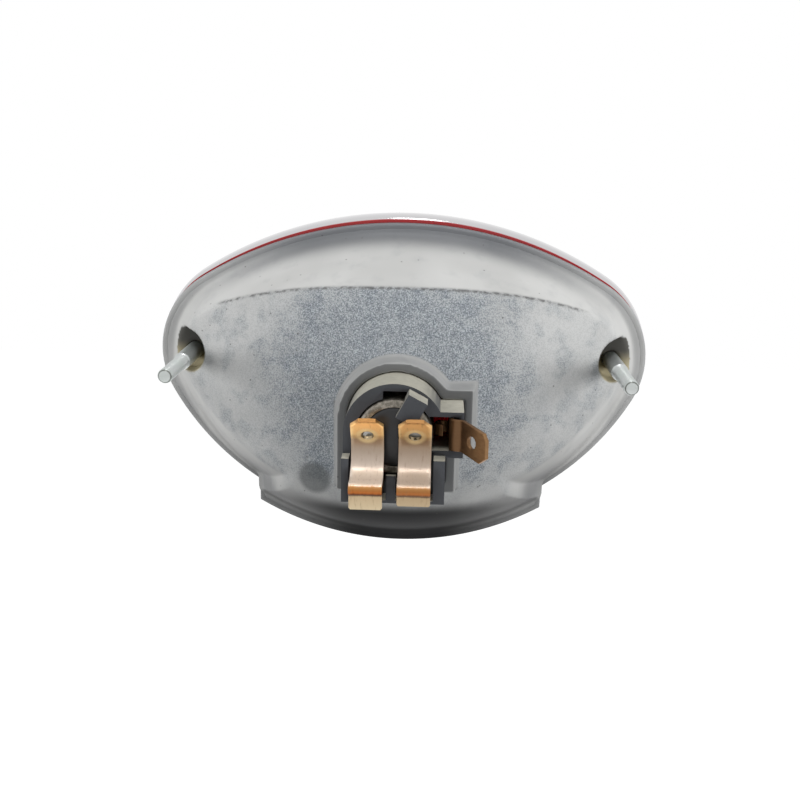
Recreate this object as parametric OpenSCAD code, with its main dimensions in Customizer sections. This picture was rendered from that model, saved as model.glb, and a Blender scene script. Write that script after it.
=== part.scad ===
// Rear lamp for a motorcycle: die-cast bowl, red lens under a bright bezel, and a two-filament
// bayonet bulb in a moulded holder with spring contacts.
// X is right as seen from behind, Y is forward towards the lens, Z is up.
// The forms are drawn with Y = 0 on the rear face of the bowl's flange. Then the whole lamp moves
// forward, so that the origin lies half way between the studs, on the plane of their shoulders.

/* [Outline] */
// Half of the flange's width at the studs
flange_half_w = 54.5; // [52:0.5:60]
// Height of the flange above the studs
flange_top = 29; // [27:0.5:32]
// Depth of the flange's lower arc below the studs
flange_low = 40.7; // [38:0.1:44]
// Radius of the flange's two end curves
end_r = 19.5; // [17:0.5:21]
// Drop of the end curves' centres below the studs
end_drop = 0.5; // [0:0.1:1.5]
// Thickness of the flange
flange_t = 2; // [1.5:0.1:3]
// Width of the flat rear band over the bowl
band_w = 2.8; // [2:0.1:3.5]
// Width of the rear band at the two ends
end_band_w = 3.9; // [3:0.1:4.2]
// Width of the rear band along the lower arcs
low_band_w = 1.2; // [1:0.1:1.6]
// How far the flange's rear edge is drawn in by its draft
edge_in = 0.9; // [0.5:0.1:1]
// How far the flange's front edge is drawn in from the lens
joint_in = 0.4; // [0.2:0.1:0.5]
// Half of the width of the number-plate window's skirt
skirt_half_w = 32.5; // [28:0.5:34]
// How far the skirt hangs below the flange's lower arc
skirt_drop = 4; // [3:0.1:5]
// Width of the skirt's lip
lip_w = 2.7; // [2.2:0.1:3.2]

/* [Bowl] */
// Depth of the bowl at its crown
bowl_depth = 24; // [22:0.5:26]
// Wall of the casting
bowl_wall = 2; // [1.6:0.1:2.4]
// Inward slope of the bowl's side walls, as inset for each millimetre of depth
wall_slope = 0.46; // [0.4:0.01:0.55]
// Crown radius of the bowl's rear face from side to side
crown_r_side = 66; // [60:1:90]
// Crown radius of the bowl's rear face from top to bottom
crown_r_up = 74; // [60:1:90]
// Length over which the rear face rolls into the side and bottom walls
roll_w = 9; // [4:0.5:12]

/* [Studs] */
// Distance between the two studs
stud_spacing = 92; // [90:0.5:93]
// Diameter of the stud thread
stud_d = 3; // [2.5:0.5:3.5]
// Diameter of the plain shank
shank_d = 3.6; // [3.2:0.1:4]
// How far a stud stands out behind the flange
stud_out = 29; // [26:1:34]
// Length of thread at the stud's end
thread_len = 14; // [10:1:18]
// Diameter of the pocket round a stud
pocket_d = 9.2; // [8.4:0.2:9.4]
// Sideways distance of a pocket's centre beyond its stud
pocket_x = 0.9; // [0:0.1:1]
// Height of a pocket's centre above its stud
pocket_up = 0.7; // [0:0.1:1]
// Floor left at the bottom of the pocket
pocket_floor = 1.9; // [1.2:0.1:2]
// Diameter of the screw head on the bezel
head_d = 6.4; // [5.6:0.2:7]
// Height of the screw head
head_h = 2.2; // [1.8:0.1:2.6]

/* [Lens and bezel] */
// Thickness of the lens flange
lens_flange_t = 1.8; // [1.4:0.1:2.4]
// Wall of the lens
lens_wall = 2; // [1.6:0.1:2.4]
// Reach of the lens in front of the flange's rear face
lens_reach = 28; // [24:1:32]
// Half of the lens's width where it leaves the bezel
lens_half_w = 40; // [38:0.5:40.5]
// Height of the lens above the studs where it leaves the bezel
lens_top = 24; // [22:0.5:25]
// Depth of the lens below the studs where it leaves the bezel
lens_low = 35; // [33:0.5:36]
// Depth of the bezel from back to front
bezel_depth = 9; // [8:0.5:11]
// Wall of the bezel
bezel_wall = 1.6; // [1.3:0.1:2]
// How far the bezel bulges out beyond the flange
bezel_bulge = 1.3; // [0.8:0.1:1.6]
// Distance of the widest place of the bezel from its rear edge
bulge_y = 4.2; // [3.5:0.1:5]
// How far the lens flange stands out beyond the casting's outline
lens_proud = 0.3; // [0:0.1:0.5]
// How far the lens and the bezel are drawn in at their two ends
ends_in = 0.8; // [0.4:0.1:1.2]
// Thickness of the rubber gasket in the flange's front face
gasket_t = 1; // [0.8:0.1:1.2]
// Width of the gasket
gasket_w = 2; // [1.6:0.1:2.4]
// Half of the number-plate window's width
window_half_w = 27; // [22:0.5:29]

/* [Bulb] */
// Depth of the bulb's axis below the studs
bulb_drop = 9; // [8.5:0.1:9.5]
// Diameter of the bulb's cap
cap_d = 15; // [14.8:0.1:15.2]
// Length of the cap
cap_len = 19; // [18:0.5:20]
// Distance of the cap's rear end behind the flange
cap_rear = 36.4; // [36:0.1:37]
// Diameter of the glass
glass_d = 25; // [22:0.5:26]
// Length of the whole bulb
bulb_len = 52.5; // [50:0.5:53]
// Diameter over the two bayonet pins
pins_over = 17.2; // [17:0.1:17.4]
// Diameter of a bayonet pin
pin_d = 2; // [1.8:0.1:2.1]
// Distance of the upper pin from the cap's rear end
pin_back = 9; // [8:0.5:10]
// Distance between the two pins' heights on the cap
pin_step = 3; // [2.5:0.1:3.5]
// Sideways distance of each solder contact from the axis
contact_x = 4; // [3.6:0.1:4.4]
// Height of a solder contact
contact_h = 1.3; // [1:0.1:1.6]
// Travel of the bulb when it is pressed in to turn it out
bulb_travel = 2; // [1.5:0.1:2.2]

/* [Holder] */
// Radius of the holder's round upper part
holder_r = 9.9; // [9.7:0.1:10.2]
// Height of the round part's centre above the bulb's axis
arch_up = 0.5; // [0:0.1:0.6]
// Depth of the holder's lower end below the bulb's axis
holder_low = 12.3; // [12:0.1:14]
// How far the bulb's cap stands out behind the holder's rear face
cap_proud = 0.4; // [0.2:0.1:0.8]
// Reach of the side wing that holds the earth terminal
wing_x = 13.3; // [12.8:0.1:14]
// Height of the wing's upper face above the bulb's axis
wing_top = 5.1; // [4.6:0.1:5.4]
// Depth of the wing's lower face below the bulb's axis
wing_low = 4; // [3.8:0.1:4.6]
// Step by which the contact block stands behind the holder's rear face
block_step = 3.5; // [3:0.1:3.7]
// Rim of the casting's boss round the holder
boss_rim = 2; // [1.6:0.1:2.4]
// Distance of the boss's rear face behind the flange
boss_rear = 26.5; // [26:0.1:28]
// Gap round the holder in the boss
holder_gap = 0.15; // [0.1:0.05:0.3]
// How far the boss stands into the bowl
boss_in = 3; // [2:0.5:5]
// Thickness of the holder's seat against the boss
seat_t = 2; // [1.5:0.1:2.5]
// Length of the holder in front of its seat
holder_nose = 2; // [1:0.5:3]
// Drop of the wall between the two strips below the contact block's top
mid_drop = 3.2; // [2:0.1:4]
// Depth of the contact block's top below the bulb's axis
block_drop = 3.6; // [3.4:0.1:4.2]

/* [Contacts] */
// Width of the contact blades
blade_w = 6.3; // [4.8:0.1:6.3]
// Thickness of the contact strip
strip_t = 0.8; // [0.6:0.1:0.8]
// Distance between the two contact strips' centre lines
strip_pitch = 9; // [8.8:0.1:9.4]
// Sideways place of the middle between the two strips
strip_shift = -0.4; // [-0.5:0.1:0]
// Lean of the upper blades above the horizontal
blade_lean = 52; // [48:1:58]
// Length of the straight part of an upper blade
blade_len = 4.8; // [4.6:0.1:5.6]
// Hole in a blade
blade_hole = 2.4; // [2:0.1:2.6]
// Drop of the tail contact's foot below its bend
tail_drop = 3.2; // [2:0.1:3.6]
// Drop of the stop contact's foot below its bend
stop_drop = 2.3; // [2:0.1:3.6]
// Sideways step of the earth terminal along the wing
earth_side = 0.6; // [0.4:0.1:1.2]
// Earth blade's turn away from straight back
earth_turn = 37; // [30:1:45]
// Earth blade's length
earth_len = 7.2; // [7:0.1:9]
// Drop of the earth blade's tip
earth_drop = 1.2; // [0.6:0.1:1.6]

/* [Hidden] */
$fn = 64;

axis_z = -bulb_drop;
arch_z = axis_z + arch_up;
holder_rear = cap_rear - cap_proud;
fit_gap = 0.1;
joined = 0.1;
cut = 1;

// Outline of three arcs: half width a, top t, bottom b, end radius r, end centre at height c
function arc_r(x, h, r) = (x*x + h*h - r*r) / (2*(h - r));
function top_r(a, t, r, c) = arc_r(a - r, t - c, r);
function low_r(a, b, r, c) = arc_r(a - r, b + c, r);

// Distance from p along the unit vector u to the far side of a circle
function exit_r(p, u, m, r) =
    let (d = m - p, k = d*u) k + sqrt(max(0, k*k - d*d + r*r));

// Distance from the point (0, o) to the outline in direction q
function eye_r(q, o, a, t, b, r, c) =
    let (u = [cos(q), sin(q)],
         p = [0, o],
         rt = top_r(a, t, r, c),
         rb = low_r(a, b, r, c),
         mt = [0, t - rt],
         mb = [0, rb - b],
         side = u[0] >= 0 ? 1 : -1,
         me = [side*(a - r), c],
         at_end = p + exit_r(p, u, me, r)*u - me,
         turn = atan2(at_end[1], side*at_end[0]),
         up = atan2(c - mt[1], a - r),
         down = atan2(c - mb[1], a - r))
    (turn < up && turn > down) ? norm(at_end + me - p)
                               : min(exit_r(p, u, mt, rt), exit_r(p, u, mb, rb));

// The flange's outline, drawn in by d all round
flange_low_r = low_r(flange_half_w, flange_low, end_r, -end_drop);
flange_low_z = flange_low_r - flange_low;
function flange_r(q, o, d) =
    eye_r(q, o, flange_half_w - d, flange_top - d, flange_low - d, end_r - d, -end_drop);
function lip_z(x, d) = flange_low_z - sqrt(pow(flange_low_r + skirt_drop - d, 2) - x*x);
function side_z(x, d) = flange_low_z - sqrt(pow(flange_low_r - d, 2) - x*x);

outline_n = 72;
skirt_n = 16;
front_k = 1 - ends_in/flange_half_w;
function flange_pts(d, skirt_d, k) =
    let (w = skirt_half_w - skirt_d,
         q0 = atan2(side_z(w, d), w))
    concat([for (i = [0:outline_n])
                let (q = q0 + (180 - 2*q0)*i/outline_n, s = flange_r(q, 0, d))
                [k*s*cos(q), s*sin(q)]],
           [for (i = [0:skirt_n]) let (x = -w + 2*w*i/skirt_n) [k*x, lip_z(x, skirt_d)]]);

module flange_plate(d, k = 1) polygon(flange_pts(d, d, k));

// A form through outlines at several depths, each given as [y, inset, inset at the skirt]
module flange_form(steps, k = 1) {
    rings = [for (s = steps) [for (p = flange_pts(s[1], s[2], k)) [p[0], s[0], p[1]]]];
    ringed([for (r = rings) [for (i = [len(r) - 1:-1:0]) r[i]]],
           [0, steps[len(steps) - 1][0], axis_z], [0, steps[0][0], axis_z]);
}

// Everything drawn in the XZ plane and pushed from y0 to y1
module along_y(y0, y1) translate([0, y1, 0]) rotate([90, 0, 0]) linear_extrude(y1 - y0) children();

// A profile of (Y, Z) points pushed along X from x0 to x1
module along_x(x0, x1) translate([x0, 0, 0]) rotate([90, 0, 90]) linear_extrude(x1 - x0) children();

// A round thing on an axis parallel to Y
module round_y(x, z, y0, y1, r1, r2) {
    translate([x, y0, z]) rotate([-90, 0, 0]) cylinder(h = y1 - y0, r1 = r1, r2 = r2);
}
module rod_y(x, z, y0, y1, d) round_y(x, z, y0, y1, d/2, d/2);

module both_studs() {
    for (side = [-1, 1])
        translate([side*stud_spacing/2, 0, 0]) children();
}
module both_pockets() {
    for (side = [-1, 1])
        translate([side*(stud_spacing/2 + pocket_x), 0, pocket_up]) children();
}

// A closed solid from rings of points, each ring running the same way round; the last ring's
// end point closes the far side
module ringed(rings, end_point, start_point) {
    n = len(rings[0]);
    m = len(rings);
    pts = concat([for (ring = rings) for (p = ring) p], [end_point, start_point]);
    sides = [for (j = [0:m - 2]) for (i = [0:n - 1])
        let (a = j*n + i, b = j*n + (i + 1)%n, c = a + n, d = b + n)
        each [[a, d, b], [a, c, d]]];
    far = [for (i = [0:n - 1]) [(m - 1)*n + (i + 1)%n, (m - 1)*n + i, n*m]];
    near = [for (i = [0:n - 1]) [i, (i + 1)%n, n*m + 1]];
    polyhedron(points = pts, faces = concat(sides, far, near), convexity = 4);
}

// The bowl's outline at the flange, as distances from the bulb's axis
bowl_end_r = end_r - band_w/2;
skirt_in = 0.35;
function bowl_rim_r(q) =
    let (eye = eye_r(q, axis_z, flange_half_w - end_band_w, flange_top - band_w, flange_low - low_band_w,
                     bowl_end_r, -end_drop - 0.5),
         u = [cos(q), sin(q)],
         under = u[1] < 0 ? exit_r([0, axis_z], u, [0, flange_low_z],
                                   flange_low_r + skirt_drop - lip_w) : 0,
         beside = abs(u[0]) > 0.01 ? (skirt_half_w - skirt_in)/abs(u[0]) : 1000)
    max(eye, min(under, beside));

// The rings turn through the skirt's corners, so that its edges stay sharp
corner_q = atan2(lip_z(skirt_half_w - skirt_in, lip_w) - axis_z, skirt_half_w - skirt_in);
join_q = corner_q + 2.2;
function spread(a, b, n) = [for (i = [0:n - 1]) a + (b - a)*i/n];
bowl_q = concat(spread(-180 - corner_q, corner_q, 16), spread(corner_q, join_q, 1),
                spread(join_q, 180 - join_q, 54), spread(180 - join_q, 180 - corner_q, 1));

// Depth of the wall and of the crowned rear face, less a skin s
function wall_y(rho, rim, s) = (rim - s - rho)/wall_slope;
function crown_y(rho, q, s) =
    bowl_depth - s - pow(rho*cos(q), 2)/(2*crown_r_side) - pow(rho*sin(q), 2)/(2*crown_r_up);
function crease_r(q, rim, s) =
    let (k = pow(cos(q), 2)/(2*crown_r_side) + pow(sin(q), 2)/(2*crown_r_up),
         b = -1/wall_slope,
         c = (rim - s)/wall_slope - bowl_depth + s)
    (-b - sqrt(b*b - 4*k*c))/(2*k);

// The crease is sharp under the top wall and rolls over along the sides and the bottom
sharp_from = 20;
sharp_to = -8;
function ease(x) = let (t = min(1, max(0, x))) t*t*(3 - 2*t);
function roll(q) = roll_w*ease((sharp_from - asin(sin(q)))/(sharp_from - sharp_to));
function soft_min(a, b, k) =
    k < 0.01 ? min(a, b) : let (h = max(k - abs(a - b), 0)/k) min(a, b) - h*h*k/4;

wall_steps = [0, 0.35, 0.65, 0.85, 1];
crown_steps = [0.93, 0.85, 0.74, 0.6, 0.45, 0.3, 0.15];
function bowl_rings(s, extra) =
    let (fan = [for (q = bowl_q) let (rim = bowl_rim_r(q)) [q, rim, crease_r(q, rim, s)]])
    concat([[for (f = fan)
                let (rho = f[1] - s + extra*wall_slope)
                [rho*cos(f[0]), extra, axis_z + rho*sin(f[0])]]],
           [for (t = wall_steps) [for (f = fan)
                let (rho = (f[1] - s)*(1 - t) + f[2]*t,
                     y = soft_min(wall_y(rho, f[1], s), crown_y(rho, f[0], s), roll(f[0])))
                [rho*cos(f[0]), min(0, -y), axis_z + rho*sin(f[0])]]],
           [for (t = crown_steps) [for (f = fan)
                let (rho = f[2]*t,
                     y = soft_min(wall_y(rho, f[1], s), crown_y(rho, f[0], s), roll(f[0])))
                [rho*cos(f[0]), -y, axis_z + rho*sin(f[0])]]]);

module bowl_form(s, extra) ringed(bowl_rings(s, extra), [0, s - bowl_depth, axis_z], [0, extra, axis_z]);

// Outline of the holder seen from behind, grown by d
module holder_shape(d) {
    translate([0, arch_z]) circle(r = holder_r + d);
    translate([-holder_r - d, axis_z - holder_low - d])
        square([2*(holder_r + d), holder_low + arch_up + d]);
    translate([0, axis_z - wing_low - d]) square([wing_x + d, wing_top + wing_low + 2*d]);
}

// The casting: bowl, flange, stud pockets and the boss that carries the bulb holder
boss_front = bowl_depth - bowl_wall - boss_in;
skirt_edge_in = 0.2;
module housing() {
    boss_d = holder_gap + boss_rim;
    color("silver") difference() {
        union() {
            bowl_form(0, 0.5);
            flange_form([[0, edge_in, skirt_edge_in], [flange_t, joint_in, skirt_edge_in/2]]);
            along_y(-boss_rear, -boss_front) holder_shape(boss_d);
        }
        difference() {
            bowl_form(bowl_wall, flange_t + cut);
            both_pockets() rod_y(0, 0, -bowl_depth, 0.4, pocket_d + 2*pocket_floor);
            along_y(-boss_rear, -boss_front) holder_shape(boss_d);
        }
        along_y(-boss_rear - cut, -boss_front + cut) holder_shape(holder_gap);
        both_pockets() rod_y(0, 0, -bowl_depth, -pocket_floor, pocket_d);
        both_studs() rod_y(0, 0, -pocket_floor - cut, flange_t + cut, shank_d + 2*fit_gap);
        gasket_groove();
    }
}

// Gasket in a groove in the flange's front face
gasket_in = 1;
module gasket_ring(g) {
    difference() {
        flange_plate(gasket_in - g);
        flange_plate(gasket_in + gasket_w + g);
    }
}
module gasket_groove() along_y(flange_t - gasket_t, flange_t + cut) gasket_ring(fit_gap);
module housing_gasket() color("black") along_y(flange_t - gasket_t, flange_t) gasket_ring(0);

// The lens: a flat flange and a domed front
lens_back = flange_t;
lens_face = lens_back + lens_flange_t;
lens_o = -5;
lens_n = 60;
lens_steps = [0, 10, 22, 34, 46, 58, 70, 80, 86];
lens_fall = 0.62;
lens_end_r = 14;
lens_gap = 0.4;
function lens_r(q, d) =
    eye_r(q, lens_o, lens_half_w - d, lens_top - d, lens_low - d, lens_end_r - d, -end_drop);
function lens_rings(d, y0, reach) =
    concat([[for (i = [0:lens_n - 1]) let (q = i*360/lens_n, s = lens_r(q, d))
                [s*cos(q), y0, lens_o + s*sin(q)]]],
           [for (t = lens_steps) [for (i = [0:lens_n - 1])
                let (q = i*360/lens_n,
                     s = lens_r(q, d)*pow(cos(t), lens_fall),
                     top = bezel_front - bezel_wall)
                [s*cos(q), top + (reach - top)*sin(t), lens_o + s*sin(q)]]]);
module lens_form(d, y0, reach) {
    rings = lens_rings(d, y0, reach);
    ringed([for (r = rings) [for (i = [len(r) - 1:-1:0]) r[i]]], [0, reach, lens_o], [0, y0, lens_o]);
}
module lens() {
    color("red") difference() {
        union() {
            along_y(lens_back, lens_face) flange_plate(-lens_proud, front_k);
            lens_form(0, lens_back + 0.5, lens_reach);
        }
        lens_form(lens_wall, lens_back - cut, lens_reach - lens_wall);
        both_studs() rod_y(0, 0, lens_back - cut, lens_face + cut, shank_d + 2*fit_gap);
    }
}

// The bezel: a bright frame whose side is rolled outwards
bezel_front = lens_face + bezel_depth;
front_in = 2;
bezel_hollow = bezel_wall + 0.1;
back_turns = [90, 60, 30];
front_turns = [0, 25, 45, 65, 80, 90];
function bezel_step(y, fall) = [lens_face + y, fall - bezel_bulge, fall - bezel_bulge];
bezel_steps = concat(
    [for (a = back_turns)
        bezel_step(bulge_y*(1 - sin(a)), (bezel_bulge - lens_proud/2)*(1 - cos(a)))],
    [for (a = front_turns)
        bezel_step(bulge_y + (bezel_depth - bulge_y)*sin(a), (front_in + bezel_bulge)*(1 - cos(a)))]);
module bezel() {
    opening = [for (i = [0:lens_n - 1]) let (q = i*360/lens_n, s = lens_r(q, -lens_gap))
        [s*cos(q), lens_o + s*sin(q)]];
    color("gainsboro") difference() {
        flange_form(bezel_steps, front_k);
        along_y(lens_face - cut, bezel_front + cut) polygon(opening);
        difference() {
            along_y(lens_face - cut, bezel_front - bezel_wall) flange_plate(bezel_hollow, front_k);
            both_studs() rod_y(0, 0, lens_face - 2*cut, bezel_front, head_d + 1.6);
        }
        both_studs() rod_y(0, 0, lens_face - cut, bezel_front + cut, shank_d + 2*fit_gap);
        both_studs() rod_y(0, 0, bezel_front - head_h, bezel_front + cut, head_d + 2*fit_gap);
        plate_opening(0);
    }
}

// Clear window in the bezel's lower side, which lights the number plate
window_back = lens_face + 1.6;
window_front = bezel_front - 2.4;
window_in = -0.6;
module plate_opening(g) {
    along_y(window_back + g, window_front - g)
        translate([-window_half_w + g, -flange_low - skirt_drop - cut])
            square([2*(window_half_w - g), 16]);
}
module plate_window() {
    color("white") intersection() {
        plate_opening(fit_gap);
        along_y(window_back, window_front) difference() {
            flange_plate(window_in, front_k);
            flange_plate(window_in + bezel_wall, front_k);
        }
    }
}

// Long shouldered screws: head on the bezel, shank through lens and casting, thread behind
module fixing_studs() {
    slot_w = 1;
    slot_h = 0.9;
    color("lightgray") both_studs() difference() {
        union() {
            rod_y(0, 0, -stud_out, -stud_out + thread_len + 0.2, stud_d);
            rod_y(0, 0, -stud_out + thread_len, bezel_front - head_h + 0.7, shank_d);
            round_y(0, 0, bezel_front - head_h + 0.6, bezel_front - 0.6, head_d/2, head_d/2);
            round_y(0, 0, bezel_front - 0.6, bezel_front - 0.05, head_d/2, head_d/2 - 0.7);
        }
        translate([-head_d, bezel_front - slot_h, -slot_w/2]) cube([2*head_d, slot_h + cut, slot_w]);
        round_y(0, 0, -stud_out - cut, -stud_out + 0.4, stud_d/2 + 1, stud_d/2 - 0.5 + 0.3);
    }
}
module screw_seals() {
    color("black") both_studs() difference() {
        rod_y(0, 0, bezel_front - head_h, bezel_front - head_h + 0.6, head_d - 0.4);
        rod_y(0, 0, bezel_front - head_h - cut, bezel_front, shank_d + fit_gap);
    }
}

// The moulded holder: round body with a bayonet bore, contact block and earth wing
holder_front = boss_front - seat_t - holder_nose;
seat_w = 1.2;
bore_d = cap_d + 0.4;
bore_rear = cap_rear + bulb_travel + 2*fit_gap;
pin_y = pin_back - cap_rear;
block_rear = holder_rear + block_step;
block_low = axis_z - holder_low;
foot_z = axis_z - 8.8;
channel_w = blade_w + 0.9;
notch_w = 4.6;
lock_turn = 40;
track_far = 2*cap_d;
module pin_track(y0, y1, q0, q1) {
    along_y(y0, y1) translate([0, axis_z]) intersection() {
        circle(r = pins_over/2 + 0.3);
        polygon([[0, 0], track_far*[cos(q0), sin(q0)],
                 track_far*[cos((q0 + q1)/2), sin((q0 + q1)/2)], track_far*[cos(q1), sin(q1)]]);
    }
}
module bayonet(up, y) {
    half = 9;
    q = up ? 90 : 270;
    back = y - bulb_travel - pin_d/2 - 2*fit_gap;
    pin_track(back, y - bulb_travel + pin_d/2 + 6*fit_gap, q - half, q + lock_turn + half);
    pin_track(back, -holder_front + cut, q + lock_turn - half, q + lock_turn + half);
}
module bulb_holder() {
    color([0.25, 0.26, 0.27]) difference() {
        union() {
            along_y(-holder_rear, -holder_front) holder_shape(0);
            along_y(-boss_front, seat_t - boss_front) holder_shape(seat_w);
            along_y(-block_rear, -holder_rear + joined)
                translate([-holder_r, block_low]) square([2*holder_r, holder_low - block_drop]);
            guard_tongue();
        }
        rod_y(0, axis_z, -bore_rear, -holder_front + cut, bore_d);
        pin_pocket(1, pin_y);
        pin_pocket(-1, pin_y + pin_step);
        bayonet(true, pin_y);
        bayonet(false, pin_y + pin_step);
        for (side = [-1, 1]) translate([strip_x(side), 0, 0]) contact_channel();
        earth_slot();
        low_middle();
    }
}

// The wall between the strips stops below the block's top
middle_step = 0.3;
module low_middle() {
    translate([strip_x(-1), -block_rear - cut, axis_z - block_drop - mid_drop])
        cube([strip_pitch, block_step + cut - middle_step, mid_drop + cut]);
}

// Pocket behind a pin, open at the rear, whose front wall holds the pin
pocket_over = 0.35;
module pin_pocket(side, y) {
    high = pins_over/2 + pocket_over;
    along_y(-holder_rear - cut/2, y + pin_d/2 + fit_gap)
        translate([-notch_w/2, side > 0 ? axis_z : axis_z - high]) square([notch_w, high]);
}

// Channel for a spring contact, with the slot for its foot
function strip_x(side) = strip_shift + side*strip_pitch/2;
channel_floor = 0.6;
channel_back = 0.7;
module contact_channel() {
    translate([-channel_w/2, -block_rear - cut, block_low + channel_floor])
        cube([channel_w, block_step + channel_back + cut, holder_low - block_drop]);
    translate([-blade_w/2 - fit_gap, -block_rear - cut, foot_z - strip_t/2 - fit_gap])
        cube([blade_w + 2*fit_gap, block_rear - foot_in + cut + fit_gap, strip_t + 2*fit_gap]);
}

// A tongue that hooks over the cap's edge, clear of the cap's travel
tongue_q = 62;
tongue_w = 4;
tongue_t = 1.7;
tongue_in = 4.6;
tongue_gap = 0.5;
module guard_tongue() {
    leg_in = bore_d/2 + 0.3;
    leg_out = holder_r - 0.2;
    back = cap_rear + bulb_travel + tongue_gap + tongue_t;
    translate([0, 0, axis_z]) rotate([0, -tongue_q, 0]) translate([0, 0, -tongue_w/2]) {
        translate([leg_in, -back, 0]) cube([leg_out - leg_in, back - holder_rear + joined, tongue_w]);
        translate([tongue_in, -back, 0]) cube([leg_out - tongue_in, tongue_t, tongue_w]);
    }
}

// Spring contacts, drawn as a path in the YZ plane and given the strip's thickness
function arc(m, r, q0, q1, n) = [for (i = [0:n]) let (q = q0 + (q1 - q0)*i/n) m + r*[cos(q), sin(q)]];
function unit(v) = v/norm(v);
function path_dir(p, i) =
    let (n = len(p) - 1)
    unit(i == 0 ? p[1] - p[0] : i == n ? p[n] - p[n - 1] : unit(p[i + 1] - p[i]) + unit(p[i] - p[i - 1]));
function strip_band(p, t) =
    let (side = [for (i = [0:len(p) - 1]) let (d = path_dir(p, i)) [-d[1], d[0]]])
    concat([for (i = [0:len(p) - 1]) p[i] + side[i]*t/2],
           [for (i = [len(p) - 1:-1:0]) p[i] - side[i]*t/2]);

contact_y = -cap_rear - 0.2 - contact_h - fit_gap;
touch_z = axis_z - 2;
spring_r = 5;
hairpin_r = 0.9;
spring_mid = [contact_y - strip_t/2 - spring_r, touch_z];
blade_q = 90 - blade_lean;
blade_foot = spring_mid + spring_r*[cos(blade_q), sin(blade_q)];
blade_tip = blade_foot + blade_len*[-cos(blade_lean), sin(blade_lean)];
lip_q = -78;
lip_start = spring_mid + spring_r*[cos(lip_q), sin(lip_q)];
hairpin_m = [-block_rear - 4.9, foot_z + hairpin_r];
lip_v = lip_start - hairpin_m;
hairpin_from = atan2(lip_v[1], lip_v[0]) + acos(hairpin_r/norm(lip_v));
hairpin_to = 238;
function contact_path() = concat(
    [blade_tip],
    arc(spring_mid, spring_r, blade_q, lip_q, 12),
    [hairpin_m + hairpin_r*[cos(hairpin_from), sin(hairpin_from)]]);

module spring_contact(x) {
    half = blade_w/2;
    color("peru") difference() {
        union() {
            along_x(x - half, x + half) polygon(strip_band(contact_path(), strip_t));
            translate([x, hairpin_m[0], hairpin_m[1]]) hairpin();
        }
        translate([x, blade_tip[0], blade_tip[1]]) rotate([-blade_lean, 0, 0]) blade_cuts();
    }
}

// The round bend at the strip's lower end, about the axis on which the contact flexes
module hairpin() {
    lap_q = 3;
    start = hairpin_from - lap_q;
    rotate([0, 90, 0]) rotate([0, 0, 90 + start]) rotate_extrude(angle = hairpin_to - start)
        translate([hairpin_r - strip_t/2, -blade_w/2]) square([strip_t, blade_w]);
}

// Hole and corner cuts of a blade whose tip lies at the origin and which runs along +Y
hole_back = 4.3;
chamfer = 1.5;
module blade_cuts() {
    linear_extrude(2*cut + strip_t, center = true) {
        translate([0, hole_back]) circle(d = blade_hole);
        for (side = [-1, 1])
            polygon([[side*(blade_w/2 - chamfer - cut), -cut], [side*(blade_w/2 + cut), chamfer + cut],
                     [side*(blade_w/2 + cut), -cut]]);
    }
}

foot_in = 31;
foot_back = -hairpin_m[0] - 0.1;
module contact_feet() {
    color("peru") {
        contact_foot(strip_x(-1), tail_drop);
        contact_foot(strip_x(1), stop_drop);
    }
}

// A foot lies in its slot and turns down behind the block, where its end has small corner cuts
foot_cut = 0.25;
module contact_foot(x, drop) {
    half = blade_w/2;
    translate([x - half, -foot_back, foot_z - strip_t/2]) cube([blade_w, foot_back - foot_in, strip_t]);
    translate([x, 0, foot_z]) along_y(-foot_back, strip_t - foot_back)
        polygon([[-half, 0], [-half, foot_cut - drop], [foot_cut - half, -drop],
                 [half - foot_cut, -drop], [half, foot_cut - drop], [half, 0]]);
}
module tail_contact() spring_contact(strip_x(-1));
module stop_contact() spring_contact(strip_x(1));

// Earth terminal: a plate in the wing, a finger that rests on the cap, and a blade
earth_x = 10.9;
earth_z = axis_z + 0.8;
earth_room = 0.2;
bend_r = 1.2;
bend_y = -holder_rear + 0.4;
side_q = 80;
bend_room = 1.6;
earth_step = [earth_x + bend_r - bend_r*cos(side_q), bend_y - bend_r*sin(side_q)]
             + earth_side*[sin(side_q), -cos(side_q)];
back_bend = earth_step - bend_r*[cos(side_q), sin(side_q)];
earth_root = back_bend + bend_r*[cos(earth_turn), sin(earth_turn)];
module earth_slot() {
    high = blade_w + 2*earth_room;
    slot_in = bore_d/2 - cut;
    translate([slot_in, -holder_rear - cut, earth_z - high/2])
        cube([earth_x + strip_t/2 + fit_gap - slot_in, holder_rear - holder_front + 2*cut, high]);
    translate([earth_x, -holder_rear - cut, earth_z - high/2])
        cube([bend_room, bend_y + holder_rear + 2*cut, high]);
}
function earth_path() = concat([[earth_x, -holder_front - 4]],
    arc([earth_x + bend_r, bend_y], bend_r, 180, 180 + side_q, 5),
    arc(back_bend, bend_r, side_q, earth_turn, 3));
earth_lap = 0.3;
module earth_blade() {
    half = blade_w/2;
    difference() {
        along_x(-strip_t/2, strip_t/2)
            polygon([[earth_lap, half], [0, half], [-earth_len, half - earth_drop],
                     [-earth_len, -half - earth_drop], [0, -half], [earth_lap, -half]]);
        translate([0, -earth_len, -earth_drop]) rotate([atan(earth_drop/earth_len), 0, 0])
            rotate([0, 90, 0]) blade_cuts();
    }
}
module earth_terminal() {
    color("peru") {
        translate([0, 0, earth_z - blade_w/2]) linear_extrude(blade_w)
            polygon(strip_band(earth_path(), strip_t));
        translate([0, 0, earth_z - finger_w/2]) linear_extrude(finger_w)
            polygon(strip_band(finger_path(), finger_t));
        translate([earth_root[0], earth_root[1], earth_z]) rotate([0, 0, earth_turn]) earth_blade();
    }
}

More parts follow.
